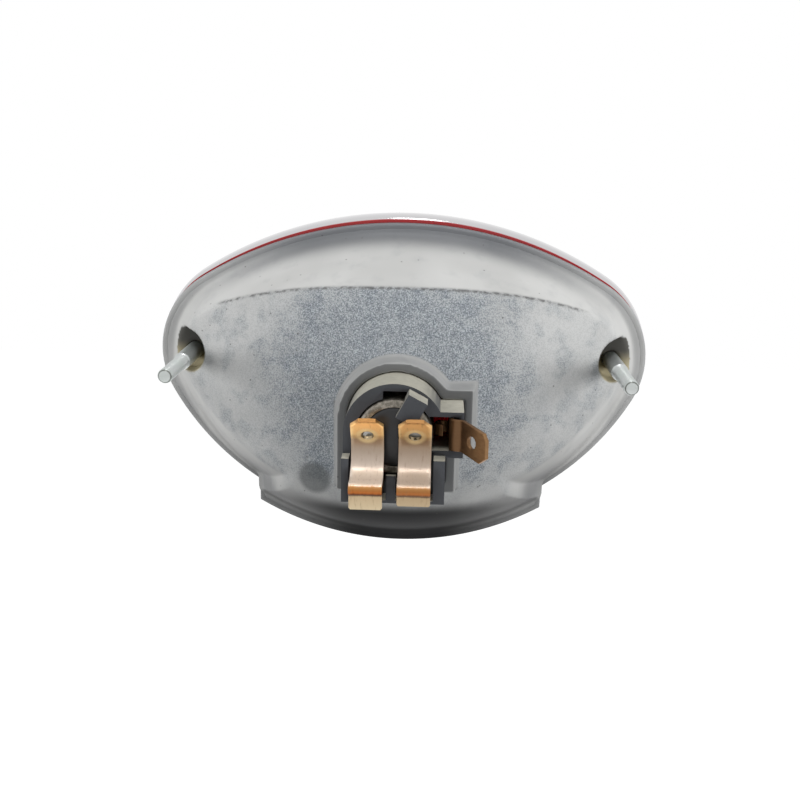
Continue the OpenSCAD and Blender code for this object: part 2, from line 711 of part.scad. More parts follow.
// The finger curls round to rest on the cap's side
finger_w = 2.4;
finger_t = 0.5;
finger_r = 1.6;
function finger_path() = concat([[earth_x, -holder_rear + 4.8]],
    arc([cap_d/2 + fit_gap + finger_r + finger_t/2, -holder_rear + 4.2], finger_r, 60, 270, 8));

// The bulb
module on_bulb() translate([0, -cap_rear, axis_z]) rotate([-90, 0, 0]) children();
cap_wall = 0.4;
cap_in = cap_d/2 - cap_wall;
module bulb_cap() {
    color("lightgray") difference() {
        on_bulb() rotate_extrude() polygon([
            [cap_d/2 - 1.6, 0], [cap_d/2 - 0.8, 0], [cap_d/2 - 0.25, 0.25], [cap_d/2, 0.8],
            [cap_d/2, cap_len - 1], [cap_d/2 + fit_gap, cap_len], [cap_in, cap_len],
            [cap_in, 1.4], [cap_d/2 - 1.6, 1]]);
        pin_rods(pin_d + 2*rivet_gap);
    }
}

// Two pins riveted through the cap's wall, one over and one under it
rivet_gap = 0.01;
rivet_in = 1.2;
module pin_rods(d) {
    h = pins_over/2 - cap_in + rivet_in;
    translate([0, pin_y, axis_z + cap_in - rivet_in]) cylinder(h = h, d = d);
    translate([0, pin_y + pin_step, axis_z - pins_over/2]) cylinder(h = h, d = d);
}
module bulb_pins() color("lightgray") pin_rods(pin_d);
module bulb_insulator() {
    color([0.1, 0.1, 0.1]) on_bulb() rotate_extrude() polygon([
        [0, -0.2], [cap_d/2 - 2.4, -0.2], [cap_d/2 - 1.6, 0.2], [cap_d/2 - 1.6, 1],
        [cap_in, 1.4], [cap_in, 3], [0, 3]]);
}
module bulb_contacts() {
    color("silver") on_bulb() for (side = [-1, 1])
        translate([side*contact_x, 0, -0.2 - contact_h]) {
            translate([0, 0, contact_h*0.4]) cylinder(h = contact_h*0.6, r = 2);
            cylinder(h = contact_h*0.4, r1 = 1.4, r2 = 2);
        }
}
neck_r = cap_in - 0.05;
neck_in = 5.8;
glass_wall = 0.8;
glass_mid = bulb_len - glass_d/2;
module glass_shape(s) {
    r = glass_d/2 - s;
    n = neck_r - s;
    q = -48;
    polygon(concat([[0, cap_len - neck_in + 2*s], [n, cap_len - neck_in + 2*s], [n, cap_len + 1]],
                   [for (i = [0:14]) let (a = q + (90 - q)*i/14) [r*cos(a), glass_mid + r*sin(a)]]));
}
module bulb_glass() {
    color([0.9, 0.95, 1, 0.4]) on_bulb() rotate_extrude() difference() {
        glass_shape(0);
        glass_shape(glass_wall);
    }
}
stem_top = cap_len + 6;
module bulb_stem() {
    color([0.85, 0.9, 0.95, 0.6]) on_bulb() difference() {
        union() {
            translate([0, 0, cap_len - 3.9]) cylinder(h = 5, r1 = 4.6, r2 = 3);
            translate([-3.4, -1, cap_len]) cube([6.8, 2, stem_top - cap_len]);
        }
        cross_wires(wire_d + 2*rivet_gap);
    }
}
tail_h = 30;
stop_h = 34;
wire_d = 0.5;
wire_x = 3.06;
wire_y = 2.4;
cross_drop = 1.8;
module filament(y, h, d) {
    translate([0, y, h]) rotate([0, 90, 0]) cylinder(h = 2*wire_x - wire_d - 0.02, d = d, center = true);
}
module tail_filament() color("gray") on_bulb() filament(wire_y, tail_h, 0.5);
module stop_filament() color("gray") on_bulb() filament(-wire_y, stop_h, 0.7);
module filament_supports() {
    color("gray") on_bulb() {
        for (side = [-1, 1]) {
            translate([side*wire_x, wire_y, stem_top - 2]) cylinder(h = tail_h - stem_top + 2.6, d = wire_d);
            translate([side*wire_x, -wire_y, stem_top - 2]) cylinder(h = stop_h - stem_top + 2.8, d = wire_d);
        }
        cross_wires(wire_d);
    }
}
// Wires through the flat of the stem, which join the uprights in pairs
module cross_wires(d) {
    for (side = [-1, 1])
        translate([side*wire_x, 0, stem_top - cross_drop]) rotate([90, 0, 0])
            cylinder(h = 2*wire_y, d = d, center = true);
}

// The lamp moves forward by the length of the studs' shoulders
module placed() translate([0, stud_out - thread_len, 0]) children();

placed() housing();
placed() housing_gasket();
placed() lens();
placed() plate_window();
placed() bezel();
placed() fixing_studs();
placed() screw_seals();
placed() bulb_holder();
placed() contact_feet();
placed() tail_contact();
placed() stop_contact();
placed() earth_terminal();
placed() bulb_cap();
placed() bulb_pins();
placed() bulb_insulator();
placed() bulb_contacts();
placed() bulb_glass();
placed() bulb_stem();
placed() tail_filament();
placed() stop_filament();
placed() filament_supports();
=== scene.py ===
import math

import bmesh
import bpy
from mathutils import Matrix, Vector


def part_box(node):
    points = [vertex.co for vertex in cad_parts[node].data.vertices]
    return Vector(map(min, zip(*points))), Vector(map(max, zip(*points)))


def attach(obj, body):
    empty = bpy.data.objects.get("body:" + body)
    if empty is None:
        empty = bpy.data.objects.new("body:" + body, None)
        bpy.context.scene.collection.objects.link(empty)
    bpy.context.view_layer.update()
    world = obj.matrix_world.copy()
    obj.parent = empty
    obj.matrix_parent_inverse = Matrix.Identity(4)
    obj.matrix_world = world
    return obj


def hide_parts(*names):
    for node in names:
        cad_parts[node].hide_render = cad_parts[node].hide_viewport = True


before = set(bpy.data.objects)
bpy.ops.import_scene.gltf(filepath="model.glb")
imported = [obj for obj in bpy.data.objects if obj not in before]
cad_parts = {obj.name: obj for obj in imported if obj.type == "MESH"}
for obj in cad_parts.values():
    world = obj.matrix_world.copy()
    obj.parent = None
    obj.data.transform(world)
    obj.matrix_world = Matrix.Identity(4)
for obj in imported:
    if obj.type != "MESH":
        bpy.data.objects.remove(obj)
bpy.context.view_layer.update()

MM = 0.001

# Sizes and places that the finishes and several pieces share, in mm, with angles in degrees
FLANGE_T = 2.0
STUD_X = 46.0
AXIS_Z = -9.0
THREAD_R = 1.5
STRIP_X = (-4.9, 4.1)
SPRING_MIDDLE, SPRING_R, SPRING_START = Vector((-43.4, -11.0)), 5.0, 38
BLADE_LEAN, BLADE_LEN, HOLE_BACK, HOLE_R = -52, 4.8, 4.3, 1.2

# Marks on the casting's mesh, which its finish reads
CAST_MARKS = ("blasted", "crease", "boss", "pocket")

# The rear face of the bowl's flange, in metres
flange_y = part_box("housing")[1].y - FLANGE_T * MM


def at_flange(x, y, z):
    """A point in mm, with y counted from the rear face of the bowl's flange."""
    return Vector((x * MM, flange_y + y * MM, z * MM))


def round_way(degrees):
    """A direction in the side view, as (y, z)."""
    return Vector((math.cos(math.radians(degrees)), math.sin(math.radians(degrees))))


# The springs' blades in the side view, in mm: their way from the tip, their foot, tip and hole
blade_way = round_way(BLADE_LEAN)
blade_foot = SPRING_MIDDLE + SPRING_R * round_way(SPRING_START)
blade_tip = blade_foot - blade_way * BLADE_LEN
blade_hole_at = blade_tip + blade_way * HOLE_BACK


def srgb(r, g, b):
    """A colour as an eye sees it, 0 to 255, as the renderer's light values."""
    def light(v):
        v = v / 255
        return v / 12.92 if v <= 0.04045 else ((v + 0.055) / 1.055) ** 2.4
    return (light(r), light(g), light(b), 1.0)


def placed(name, data):
    """A new object that shows data, in the scene."""
    holder = bpy.data.objects.new(name, data)
    bpy.context.scene.collection.objects.link(holder)
    return holder


# Shader maths
class Wire:
    """A value in a material. Sums and products of wires and numbers add their own nodes."""

    def __init__(self, shade, socket):
        self.shade = shade
        self.socket = socket

    def math(self, operation, *values):
        return self.shade.math(operation, *values)

    def __add__(self, other):
        return self.math("ADD", self, other)

    def __sub__(self, other):
        return self.math("SUBTRACT", self, other)

    def __mul__(self, other):
        return self.math("MULTIPLY", self, other)

    def __truediv__(self, other):
        return self.math("DIVIDE", self, other)

    def __pow__(self, other):
        return self.math("POWER", self, other)

    def __rsub__(self, other):
        return self.math("SUBTRACT", other, self)

    __radd__ = __add__
    __rmul__ = __mul__


class Shade:
    """A material that is built from nodes, or the world's own nodes."""

    def __init__(self, name, owner=None):
        self.material = owner or bpy.data.materials.new(name)
        self.material.use_nodes = True
        self.tree = self.material.node_tree
        self.tree.nodes.clear()

    def node(self, kind, settings=None, sockets=None):
        """Adds a node: its settings first, then its sockets' values or wires."""
        made = self.tree.nodes.new(kind)
        for name, value in (settings or {}).items():
            if name == "stops":
                ramp = made.color_ramp
                while len(ramp.elements) > 1:
                    ramp.elements.remove(ramp.elements[-1])
                ramp.elements[0].position, ramp.elements[0].color = value[0]
                for place, colour in value[1:]:
                    ramp.elements.new(place).color = colour
            else:
                setattr(made, name, value)
        for name, value in (sockets or {}).items():
            self.plug(value, made.inputs[name])
        return made

    def plug(self, value, socket):
        """Feeds a socket with a wire or a plain value."""
        if isinstance(value, Wire):
            self.tree.links.new(value.socket, socket)
        else:
            socket.default_value = value

    def wire(self, kind, settings=None, sockets=None, output=0):
        """Adds a node, and gives the wire from one of its outputs."""
        return Wire(self, self.node(kind, settings, sockets).outputs[output])

    def math(self, operation, *values, clamp=False):
        return self.wire("ShaderNodeMath", {"operation": operation, "use_clamp": clamp},
                         dict(enumerate(values)))

    def clamp(self, value):
        return self.math("ADD", value, 0.0, clamp=True)

    def step(self, value, low, high):
        """0 below low, 1 above high, and smooth between; low may be above high."""
        return self.wire("ShaderNodeMapRange", {"interpolation_type": "SMOOTHSTEP"}, {
            "Value": value, "From Min": min(low, high), "From Max": max(low, high),
            "To Min": 0.0 if low < high else 1.0, "To Max": 1.0 if low < high else 0.0}, "Result")

    def mix(self, share, first, second):
        """A colour between first and second, by share."""
        return self.wire("ShaderNodeMix", {"data_type": "RGBA"}, {0: share, 6: first, 7: second}, 2)

    def mark(self, name):
        """A value that was marked on the mesh."""
        return self.wire("ShaderNodeAttribute", {"attribute_name": name}, output="Fac")

    def place(self):
        """The place on the lamp, in metres."""
        return self.wire("ShaderNodeTexCoord", output="Object")

    def axes(self, way=None):
        """The place on the lamp, or another way, as three wires."""
        made = self.node("ShaderNodeSeparateXYZ", {}, {0: way or self.place()})
        return [Wire(self, made.outputs[i]) for i in range(3)]

    def facing(self):
        """The surface's own direction, as three wires."""
        return self.axes(self.wire("ShaderNodeTexCoord", output="Normal"))

    def grain(self, size, detail=2.0, rough=0.5, stretch=(1, 1, 1)):
        """Noise whose patches are about size across, in metres."""
        moved = self.wire("ShaderNodeMapping", {}, {"Vector": self.place(), "Scale": stretch})
        return self.wire("ShaderNodeTexNoise", {}, {
            "Vector": moved, "Scale": 1 / size, "Detail": detail, "Roughness": rough})

    def spots(self, size):
        """Distance to the nearest of scattered points, 0 at a point."""
        return self.wire("ShaderNodeTexVoronoi", {}, {
            "Vector": self.place(), "Scale": 1 / size}, "Distance")

    def distance(self, x, y, z):
        """Distance in metres from a point that is given in mm."""
        return self.wire("ShaderNodeVectorMath", {"operation": "DISTANCE"}, {
            0: self.place(), 1: at_flange(x, y, z)}, "Value")

    def round_mark(self, x, y, z, radius, soft):
        """1 inside a ball about a point in mm, 0 outside it."""
        return self.step(self.distance(x, y, z), (radius + soft) * MM, (radius - soft) * MM)

    def bump(self, height, depth, strength):
        """A normal that shows height, 0 to 1, as depth in metres."""
        return self.wire("ShaderNodeBump", {}, {"Strength": strength, "Distance": depth, "Height": height})

    def finish(self, sockets):
        """Closes the material with a surface that takes these sockets."""
        self.node("ShaderNodeOutputMaterial", {}, {
            "Surface": self.wire("ShaderNodeBsdfPrincipled", {}, sockets)})
        return self.material


class Growth(Shade):
    """A geometry tree with named sizes, which grows a piece."""

    def __init__(self, name, sizes):
        self.tree = bpy.data.node_groups.new(name, "GeometryNodeTree")
        self.tree.interface.new_socket("Geometry", in_out="OUTPUT", socket_type="NodeSocketGeometry")
        for label, value in sizes.items():
            kind = "NodeSocketInt" if isinstance(value, int) else "NodeSocketFloat"
            self.tree.interface.new_socket(label, in_out="INPUT", socket_type=kind)
        self.sizes = sizes
        inputs = self.node("NodeGroupInput")
        self.size = {label: Wire(self, inputs.outputs[label]) for label in sizes}

    def grown(self, form, finish):
        """The grown form as a plain mesh, with its instances real and its finish set."""
        real = self.wire("GeometryNodeRealizeInstances", {}, {0: form})
        dressed = self.wire("GeometryNodeSetMaterial", {}, {"Geometry": real, "Material": FINISH[finish]})
        self.node("NodeGroupOutput", {}, {0: dressed})
        holder = placed("growing", bpy.data.meshes.new("growing"))
        growth = holder.modifiers.new("growth", "NODES")
        growth.node_group = self.tree
        for item in self.tree.interface.items_tree:
            if item.in_out == "INPUT":
                growth[item.identifier] = self.sizes[item.name]
        return baked(holder)


# Finishes, and the places that they mark, in mm: the middle of the coarse grain and its radius, the
# skirt's shoulders (for painted shade) and the darker disc, with theirs; the earth blade's way, along
# which painted shade falls; and the foot and the height of the springs' colour ramp, mostly painted light
COARSE_MIDDLE, COARSE_R = (-1, -24, -2), 36
SHOULDERS = ((-30, -6, -28, 6), (30, -6, -28, 6))
DARK_DISC = (-17.4, -21, -23.2, 3.6)
EARTH_WAY = (0.59, -0.79, -0.16)
RAMP_FOOT, RAMP_HEIGHT = -21, 17.5


def cast_alloy():
    """Bare die-cast alloy: a smooth bright skin, and a rear face blasted to a crisp grain whose pits stay
    dark; painted shade darkens the flats of the boss and of the flange, the wall's foot and the underside."""
    s = Shade("cast_alloy")
    x, y, z = s.axes()
    ny, nz = s.facing()[1:]
    blasted, crease, boss, pocket = [s.mark(name) for name in CAST_MARKS]

    # The blasted grain, coarsest above the boss and worn away low down
    pits = s.grain(0.27 * MM, 1.0, 0.6)
    clumps = s.grain(1.1 * MM, 2.0, 0.5)
    patch = s.grain(4.0 * MM, 2.0, 0.5)
    broad = s.grain(15 * MM, 2.0, 0.5)
    flow = s.grain(5 * MM, 3.0, 0.6, (1.0, 1.0, 0.3))
    about_boss = s.step(s.distance(*COARSE_MIDDLE), COARSE_R * MM, COARSE_R / 3 * MM)
    coarse = s.clamp(blasted * (0.22 + about_boss * 0.9 + s.step(patch, 0.45, 0.7) * 0.3))
    coarse = coarse * (1 - s.step(z, -20 * MM, -28 * MM) * 0.7)
    tone = s.mix(s.step(broad, 0.32, 0.68), srgb(190, 190, 188), srgb(202, 202, 200))
    tone = s.mix(s.step(flow, 0.5, 0.74) * 0.25, tone, srgb(156, 158, 161))
    tone = s.mix(coarse * (0.52 + patch * 0.3), tone, srgb(122, 130, 138))
    speckle = pits + (clumps - 0.5) * 0.22
    tone = s.mix(s.step(speckle, 0.5, 0.4) * coarse * 0.6, tone, srgb(78, 90, 100))
    tone = s.mix(s.step(speckle, 0.56, 0.68) * coarse * 0.45, tone, srgb(206, 214, 220))

    # Painted shade: at the wall's foot, over the flange, on the boss's flats, low down, on the skirt's
    # shoulders, on faces that look down or up, and a painted shadow under the lamp
    aside = s.math("ABSOLUTE", x)
    centre = s.step(aside, 52 * MM, 18 * MM)
    low = s.step(y, flange_y - 8.5 * MM, flange_y - 0.2 * MM) ** 1.4
    up = s.step(z, -6 * MM, 6 * MM)
    tone = s.mix(low * up * (0.06 + centre * 0.79), tone, srgb(78, 81, 86))
    edge = s.step(y, flange_y - 0.3 * MM, flange_y + 0.3 * MM)
    tone = s.mix(edge * 0.6, tone, srgb(120, 122, 126))
    tone = s.mix(boss * (0.5 + s.step(ny, -0.8, -0.97) * 0.32), tone, srgb(64, 66, 68))
    under = s.step(z, -17 * MM, -33 * MM)
    tone = s.mix(under * (0.34 + flow * 0.24), tone, srgb(66, 68, 70))
    left, right = [s.round_mark(*shoulder, 4) for shoulder in SHOULDERS]
    tone = s.mix((left + right) * 0.6, tone, srgb(74, 76, 79))
    tone = s.mix(s.step(nz, -0.3, -0.8) * (1 - boss) * 0.5, tone, srgb(34, 34, 35))
    shadow = s.step(z, -27 * MM, -31 * MM) * s.step(aside, 34 * MM, 8 * MM)
    tone = s.mix(shadow * 0.95, tone, srgb(28, 28, 29))
    tone = s.mix(s.step(nz, 0.35, 0.85) * 0.14, tone, srgb(96, 98, 100))

    # Marks: the stud pockets' olive tone, with painted shade in their upper part and painted light low
    # down; a darker round disc; specks; and a thin dark line along the crease
    pocket_tone_and_shade = s.mix(s.step(z, 2.4 * MM, -1.5 * MM), srgb(40, 38, 30), srgb(162, 152, 120))
    tone = s.mix(pocket * 0.9, tone, pocket_tone_and_shade)
    dark_disc = s.round_mark(*DARK_DISC, 0.8)
    tone = s.mix(dark_disc * (0.45 + patch * 0.3), tone, srgb(62, 67, 68))
    specks = s.step(s.spots(3.4 * MM), 0.07, 0.04)
    tone = s.mix(specks * 0.6, tone, srgb(72, 70, 68))
    line = s.clamp(crease * (0.35 + s.step(clumps, 0.38, 0.6) * 0.75))
    tone = s.mix(line * 0.8, tone, srgb(62, 61, 60))
    height = pits * coarse * 0.8 + patch * blasted * 0.2 + flow * 0.15
    return s.finish({
        "Base Color": tone, "Metallic": 0.1, "Specular IOR Level": 0.2,
        "Roughness": 0.44 + broad * 0.1 + coarse * 0.12 + shadow * 0.35,
        "Normal": s.bump(height, 0.12 * MM, 0.55)})


def chrome():
    """Bright plate, a little hazed and pitted."""
    s = Shade("bright_plate")
    haze = s.grain(14 * MM, 3.0, 0.55)
    pits = s.step(s.spots(1.6 * MM), 0.1, 0.04)
    tone = s.mix(haze, srgb(200, 199, 201), srgb(210, 209, 210))
    return s.finish({"Base Color": s.mix(pits * 0.3, tone, srgb(140, 138, 134)), "Metallic": 1.0,
                     "Roughness": 0.07 + haze * 0.06, "Normal": s.bump(haze, 0.03 * MM, 0.3)})


def zinc_plate():
    """Bright zinc, with painted shade in its thread roots."""
    s = Shade("bright_zinc")
    x, z = s.axes()[::2]
    ny = s.facing()[1]
    aside = s.math("ABSOLUTE", x) - STUD_X * MM
    off_axis = s.math("SQRT", aside * aside + z * z)
    # Painted shade in the thread roots, on the faces that look rearwards
    root = s.step(off_axis, (THREAD_R - 0.04) * MM, (THREAD_R - 0.2) * MM) * s.step(ny, -0.95, -0.8)
    haze = s.grain(1.6 * MM, 3.0, 0.6, (1, 0.35, 1))
    tint = s.grain(4 * MM, 2.0, 0.5)
    tone = s.mix(tint, srgb(188, 198, 192), srgb(206, 206, 208))
    tone = s.mix(haze * 0.3, tone, srgb(150, 152, 150))
    return s.finish({"Base Color": s.mix(root * 0.75, tone, srgb(62, 64, 56)), "Metallic": 0.8,
                     "Roughness": 0.28 + haze * 0.15, "Normal": s.bump(haze, 0.03 * MM, 0.5)})


def holder_moulding():
    """Dark grey moulding, with painted light on its upper faces and, less, on those that face left."""
    s = Shade("holder_moulding")
    nx, nz = s.facing()[::2]
    # Painted light: faces that look up are lightened, and those that look left a little
    painted_top_light = s.step(nz, 0.35, 0.9) * 0.85 + s.step(nx, -0.5, -0.95) * 0.25
    worn = s.grain(1.4 * MM, 3.0, 0.6)
    tone = s.mix(worn, srgb(48, 50, 54), srgb(64, 66, 70))
    tone = s.mix(s.clamp(painted_top_light * (worn * 0.5 + 0.7)), tone, srgb(166, 163, 150))
    return s.finish({"Base Color": tone, "Roughness": 0.42 + worn * 0.2,
                     "Normal": s.bump(worn, 0.05 * MM, 0.5)})


def contact_copper():
    """Copper alloy strip, yellow at the blade; down the spring a painted highlight, and at the lip a
    painted orange reflection over a painted shadow line.
    """
    s = Shade("contact_copper")
    x, z = s.axes()[::2]
    streak = s.grain(1.3 * MM, 3.0, 0.6, (3.0, 1.0, 0.6))
    height = z + (streak - 0.5) * (0.5 * MM)
    # Up the strip, mostly painted light: a pale painted reflection on the feet, a painted shadow line under
    # the lip, a painted orange reflection on it, a painted highlight low on the belly, darker above, the
    # blade's own yellow, and painted shade on its tip
    tones = s.wire("ShaderNodeValToRGB", {"stops": [
        (0.0, srgb(206, 188, 156)), (0.145, srgb(190, 168, 136)), (0.165, srgb(62, 38, 24)),
        (0.19, srgb(84, 48, 26)), (0.215, srgb(160, 92, 44)), (0.275, srgb(186, 132, 76)),
        (0.3, srgb(228, 212, 196)), (0.38, srgb(214, 198, 184)), (0.46, srgb(188, 172, 158)),
        (0.62, srgb(152, 134, 116)), (0.7, srgb(158, 136, 112)), (0.77, srgb(240, 202, 142)),
        (0.92, srgb(244, 194, 128)), (0.95, srgb(170, 124, 74))]},
        {"Fac": (height - RAMP_FOOT * MM) / (RAMP_HEIGHT * MM)})
    tone = s.mix(s.step(x, -1 * MM, 0.5 * MM) * 0.25, tones, srgb(124, 96, 66))
    tone = s.mix(s.step(streak, 0.56, 0.74) * 0.3, tone, srgb(120, 92, 72))
    # Painted highlight: a band low on the belly is made less metallic, so that it shows pale
    painted_highlight_band = s.step(z, -13.6 * MM, -14.8 * MM) * s.step(z, -16.6 * MM, -16.0 * MM)
    # Round the blade's hole: a pale ring, and painted shade on the hole's edge
    hole = s.math("MINIMUM", *[s.distance(strip, *blade_hole_at) for strip in STRIP_X])
    tone = s.mix(s.step(hole, 2.5 * MM, 1.7 * MM) * 0.6, tone, srgb(246, 228, 178))
    tone = s.mix(s.step(hole, (HOLE_R + 0.14) * MM, (HOLE_R + 0.04) * MM) * 0.55, tone, srgb(112, 92, 80))
    return s.finish({"Base Color": tone, "Metallic": 0.95 - painted_highlight_band * 0.55, "Roughness": 0.24 + streak * 0.14,
                     "Normal": s.bump(streak, 0.02 * MM, 0.35)})


def earth_copper():
    """Browned copper alloy of the earth blade, with painted shade darkening it towards its root."""
    s = Shade("earth_copper")
    x, y, z = [place * share for place, share in zip(s.axes(), EARTH_WAY)]
    streak = s.grain(1.5 * MM, 3.0, 0.6, (1, 1, 2.5))
    tone = s.mix(streak, srgb(118, 88, 60), srgb(162, 126, 88))
    # Painted shade towards the blade's root
    tone = s.mix(s.step(x + y + z, 33 * MM, 27 * MM) * 0.6, tone, srgb(74, 50, 34))
    return s.finish({"Base Color": tone, "Metallic": 0.85, "Roughness": 0.3 + streak * 0.2,
                     "Normal": s.bump(streak, 0.03 * MM, 0.5)})


def cap_nickel():
    """Nickel plate, worn in small patches."""
    s = Shade("cap_nickel")
    worn = s.grain(0.7 * MM, 3.0, 0.65)
    tone = s.mix(s.step(worn, 0.38, 0.64), srgb(112, 107, 98), srgb(158, 152, 142))
    return s.finish({"Base Color": tone, "Metallic": 0.85, "Roughness": 0.3 + worn * 0.2,
                     "Normal": s.bump(worn, 0.035 * MM, 0.5)})


def plain(name, grain, dark, light, rough, relief=None, others=None):
    """A finish whose tone, roughness and relief follow one grain. grain is its size in mm, its detail
    and its own roughness; rough is the least roughness and the grain's share in it; relief is a depth
    in mm and a strength."""
    s = Shade(name)
    worn = s.grain(grain[0] * MM, *grain[1:])
    sockets = {"Base Color": s.mix(worn, srgb(*dark), srgb(*light)),
               "Roughness": rough[0] + worn * rough[1], **(others or {})}
    if relief:
        sockets["Normal"] = s.bump(worn, relief[0] * MM, relief[1])
    return s.finish(sockets)


FINISH = {
    "casting": cast_alloy(), "bright_trim": chrome(), "zinc_steel": zinc_plate(),
    "holder_plastic": holder_moulding(), "contact_brass": contact_copper(), "earth": earth_copper(),
    "cap_metal": cap_nickel(),
    "rubber": plain("black_rubber", (1.2, 3.0, 0.6), (24, 24, 25), (44, 44, 45), (0.75, 0.0), (0.03, 0.6)),
    "red_lens": plain("red_lens_plastic", (9, 2.0, 0.5), (168, 6, 16), (186, 9, 20), (0.06, 0.03),
                      (0.02, 0.3), {"Transmission Weight": 0.3, "IOR": 1.49}),
    "clear_window": plain("clear_window_plastic", (5, 2.0, 0.5), (232, 236, 236), (244, 246, 246),
                          (0.08, 0.04), None, {"Transmission Weight": 0.9, "IOR": 1.49}),
    "insulator": plain("black_insulator", (1.1, 2.0, 0.5), (14, 14, 16), (34, 34, 36), (0.25, 0.2),
                       (0.05, 0.5)),
    "solder": plain("soft_solder", (0.9, 3.0, 0.6), (140, 140, 138), (190, 190, 186), (0.35, 0.2),
                    (0.08, 0.6), {"Metallic": 0.8}),
    "clear_glass": plain("clear_glass", (8, 2.0, 0.5), (240, 244, 244), (250, 252, 252), (0.02, 0.02),
                         None, {"Transmission Weight": 1.0, "IOR": 1.5}),
    "tungsten": plain("tungsten_wire", (0.6, 2.0, 0.5), (96, 96, 98), (130, 130, 132), (0.35, 0.1),
                      None, {"Metallic": 0.9})}


# Mesh helpers
def new_piece(name, mesh, finish, body, node):
    """Makes mesh a named piece that rides on body and stands for a CAD node."""
    piece = placed(name, mesh)
    mesh.materials.clear()
    mesh.materials.append(FINISH[finish])
    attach(piece, body)
    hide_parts(node)


def baked(holder):
    """The object's mesh with its modifiers worked in; the object goes."""
    graph = bpy.context.evaluated_depsgraph_get()
    mesh = bpy.data.meshes.new_from_object(holder.evaluated_get(graph), depsgraph=graph)
    bpy.data.objects.remove(holder)
    return mesh


def cad_mesh(node):
    """A welded copy of a CAD node's mesh, with its flat faces whole."""
    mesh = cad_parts[node].data.copy()
    form = bmesh.new()
    form.from_mesh(mesh)
    bmesh.ops.remove_doubles(form, verts=form.verts, dist=0.002 * MM)
    bmesh.ops.dissolve_limit(form, angle_limit=math.radians(0.4), verts=form.verts, edges=form.edges)
    form.to_mesh(mesh)
    form.free()
    return mesh


def smooth(mesh, limit=28):
    """Shades a mesh smooth but for its real edges."""
    mesh.shade_smooth()
    mesh.set_sharp_from_angle(angle=math.radians(limit))
    return mesh


def rounded(node, width):
    """A CAD node's form with its sharp edges rounded to width, in mm."""
    holder = placed("rounding", cad_mesh(node))
    edges = holder.modifiers.new("edges", "BEVEL")
    edges.width = width * MM
    edges.segments = 2
    edges.limit_method = "ANGLE"
    edges.angle_limit = math.radians(30)
    edges.harden_normals = True
    return smooth(baked(holder))


# The casting, whose bowl follows a rule: a flange of three arcs, sloped side walls, and a crowned
# rear face that meets the top wall in a crease and rolls over into the sides and the bottom. All its
# sizes are in mm, and depths are counted from the flange's rear face
def reach(start, way, middle, radius):
    """Distance from start along way to the far side of a circle."""
    gap = (middle[0] - start[0], middle[1] - start[1])
    ahead = gap[0] * way[0] + gap[1] * way[1]
    return ahead + math.sqrt(max(0.0, ahead * ahead - gap[0] ** 2 - gap[1] ** 2 + radius * radius))


def arc_radius(x, h, r):
    """Radius of the arc that peaks h above the end curves' middles, x aside, and touches them."""
    return (x * x + h * h - r * r) / (2 * (h - r))


class Eye:
    """An outline of three arcs: half its width, its top, its bottom, and its end curves."""

    def __init__(self, half, top, low, end_radius, end_height):
        self.end = (half - end_radius, end_height)
        self.end_radius = end_radius
        self.top_radius = arc_radius(half - end_radius, top - end_height, end_radius)
        self.low_radius = arc_radius(half - end_radius, low + end_height, end_radius)
        self.top_middle = (0, top - self.top_radius)
        self.low_middle = (0, self.low_radius - low)
        self.up = math.atan2(end_height - self.top_middle[1], self.end[0])
        self.down = math.atan2(end_height - self.low_middle[1], self.end[0])

    def reach(self, start, way):
        side = 1 if way[0] >= 0 else -1
        middle = (side * self.end[0], self.end[1])
        far = reach(start, way, middle, self.end_radius)
        at = (start[0] + far * way[0] - middle[0], start[1] + far * way[1] - middle[1])
        if self.down < math.atan2(at[1], side * at[0]) < self.up:
            return far
        return min(reach(start, way, self.top_middle, self.top_radius),
                   reach(start, way, self.low_middle, self.low_radius))


FLANGE_HALF, FLANGE_TOP, FLANGE_LOW, END_RADIUS, END_HEIGHT = 54.5, 29.0, 40.7, 19.5, -0.5
SKIRT_HALF, SKIRT_DROP = 32.5, 4.0
BOWL_DEPTH, BOWL_WALL, WALL_SLOPE = 24.0, 2.0, 0.46
CROWN_SIDE, CROWN_UP, ROLL = 66.0, 74.0, 9.0
HOLDER_RADIUS, HOLDER_LOW, ARCH_UP = 9.9, 12.3, 0.5
WING_X, WING_TOP, WING_LOW = 13.3, 5.1, 4.0
HOLDER_PLAY = 0.15
BOSS_REAR, BOSS_FRONT, BOSS_WALL, BOSS_DRAFT = 26.5, 19.0, 2.15, 0.9
POCKET_X, POCKET_Z, POCKET_R, POCKET_WALL = 46.9, 0.7, 4.6, 1.9
STUD_HOLE_R = 1.9
GROOVE_OUT, GROOVE_IN, GROOVE_DEEP = 0.9, 3.1, 1.0
FOOT_FILLET = 2.6
LEDGE_SIDE, LEDGE_TOP, LEDGE_LOW = 3.9, 2.8, 1.2
WALL_STEPS, CROWN_STEPS, EYE_STEPS, LIP_STEPS = 26, 44, 240, 60
flange_low_arc = Eye(FLANGE_HALF, FLANGE_TOP, FLANGE_LOW, END_RADIUS, END_HEIGHT).low_radius
flange_low_z = flange_low_arc - FLANGE_LOW
bowl_skirt_half = SKIRT_HALF - 0.35
bowl_skirt_arc = flange_low_arc + SKIRT_DROP - 2.7
bowl_rim = Eye(FLANGE_HALF - LEDGE_SIDE, FLANGE_TOP - LEDGE_TOP, FLANGE_LOW - LEDGE_LOW, END_RADIUS - 1.4,
               END_HEIGHT - 0.5)


def ease(x):
    """A smooth rise from 0 to 1 as x goes from 0 to 1."""
    x = min(1.0, max(0.0, x))
    return x * x * (3 - 2 * x)


def soft_min(a, b, k):
    """The lesser of a and b, with the corner between them rounded over a width of k."""
    if k < 0.01:
        return min(a, b)
    h = max(k - abs(a - b), 0) / k
    return min(a, b) - h * h * k / 4


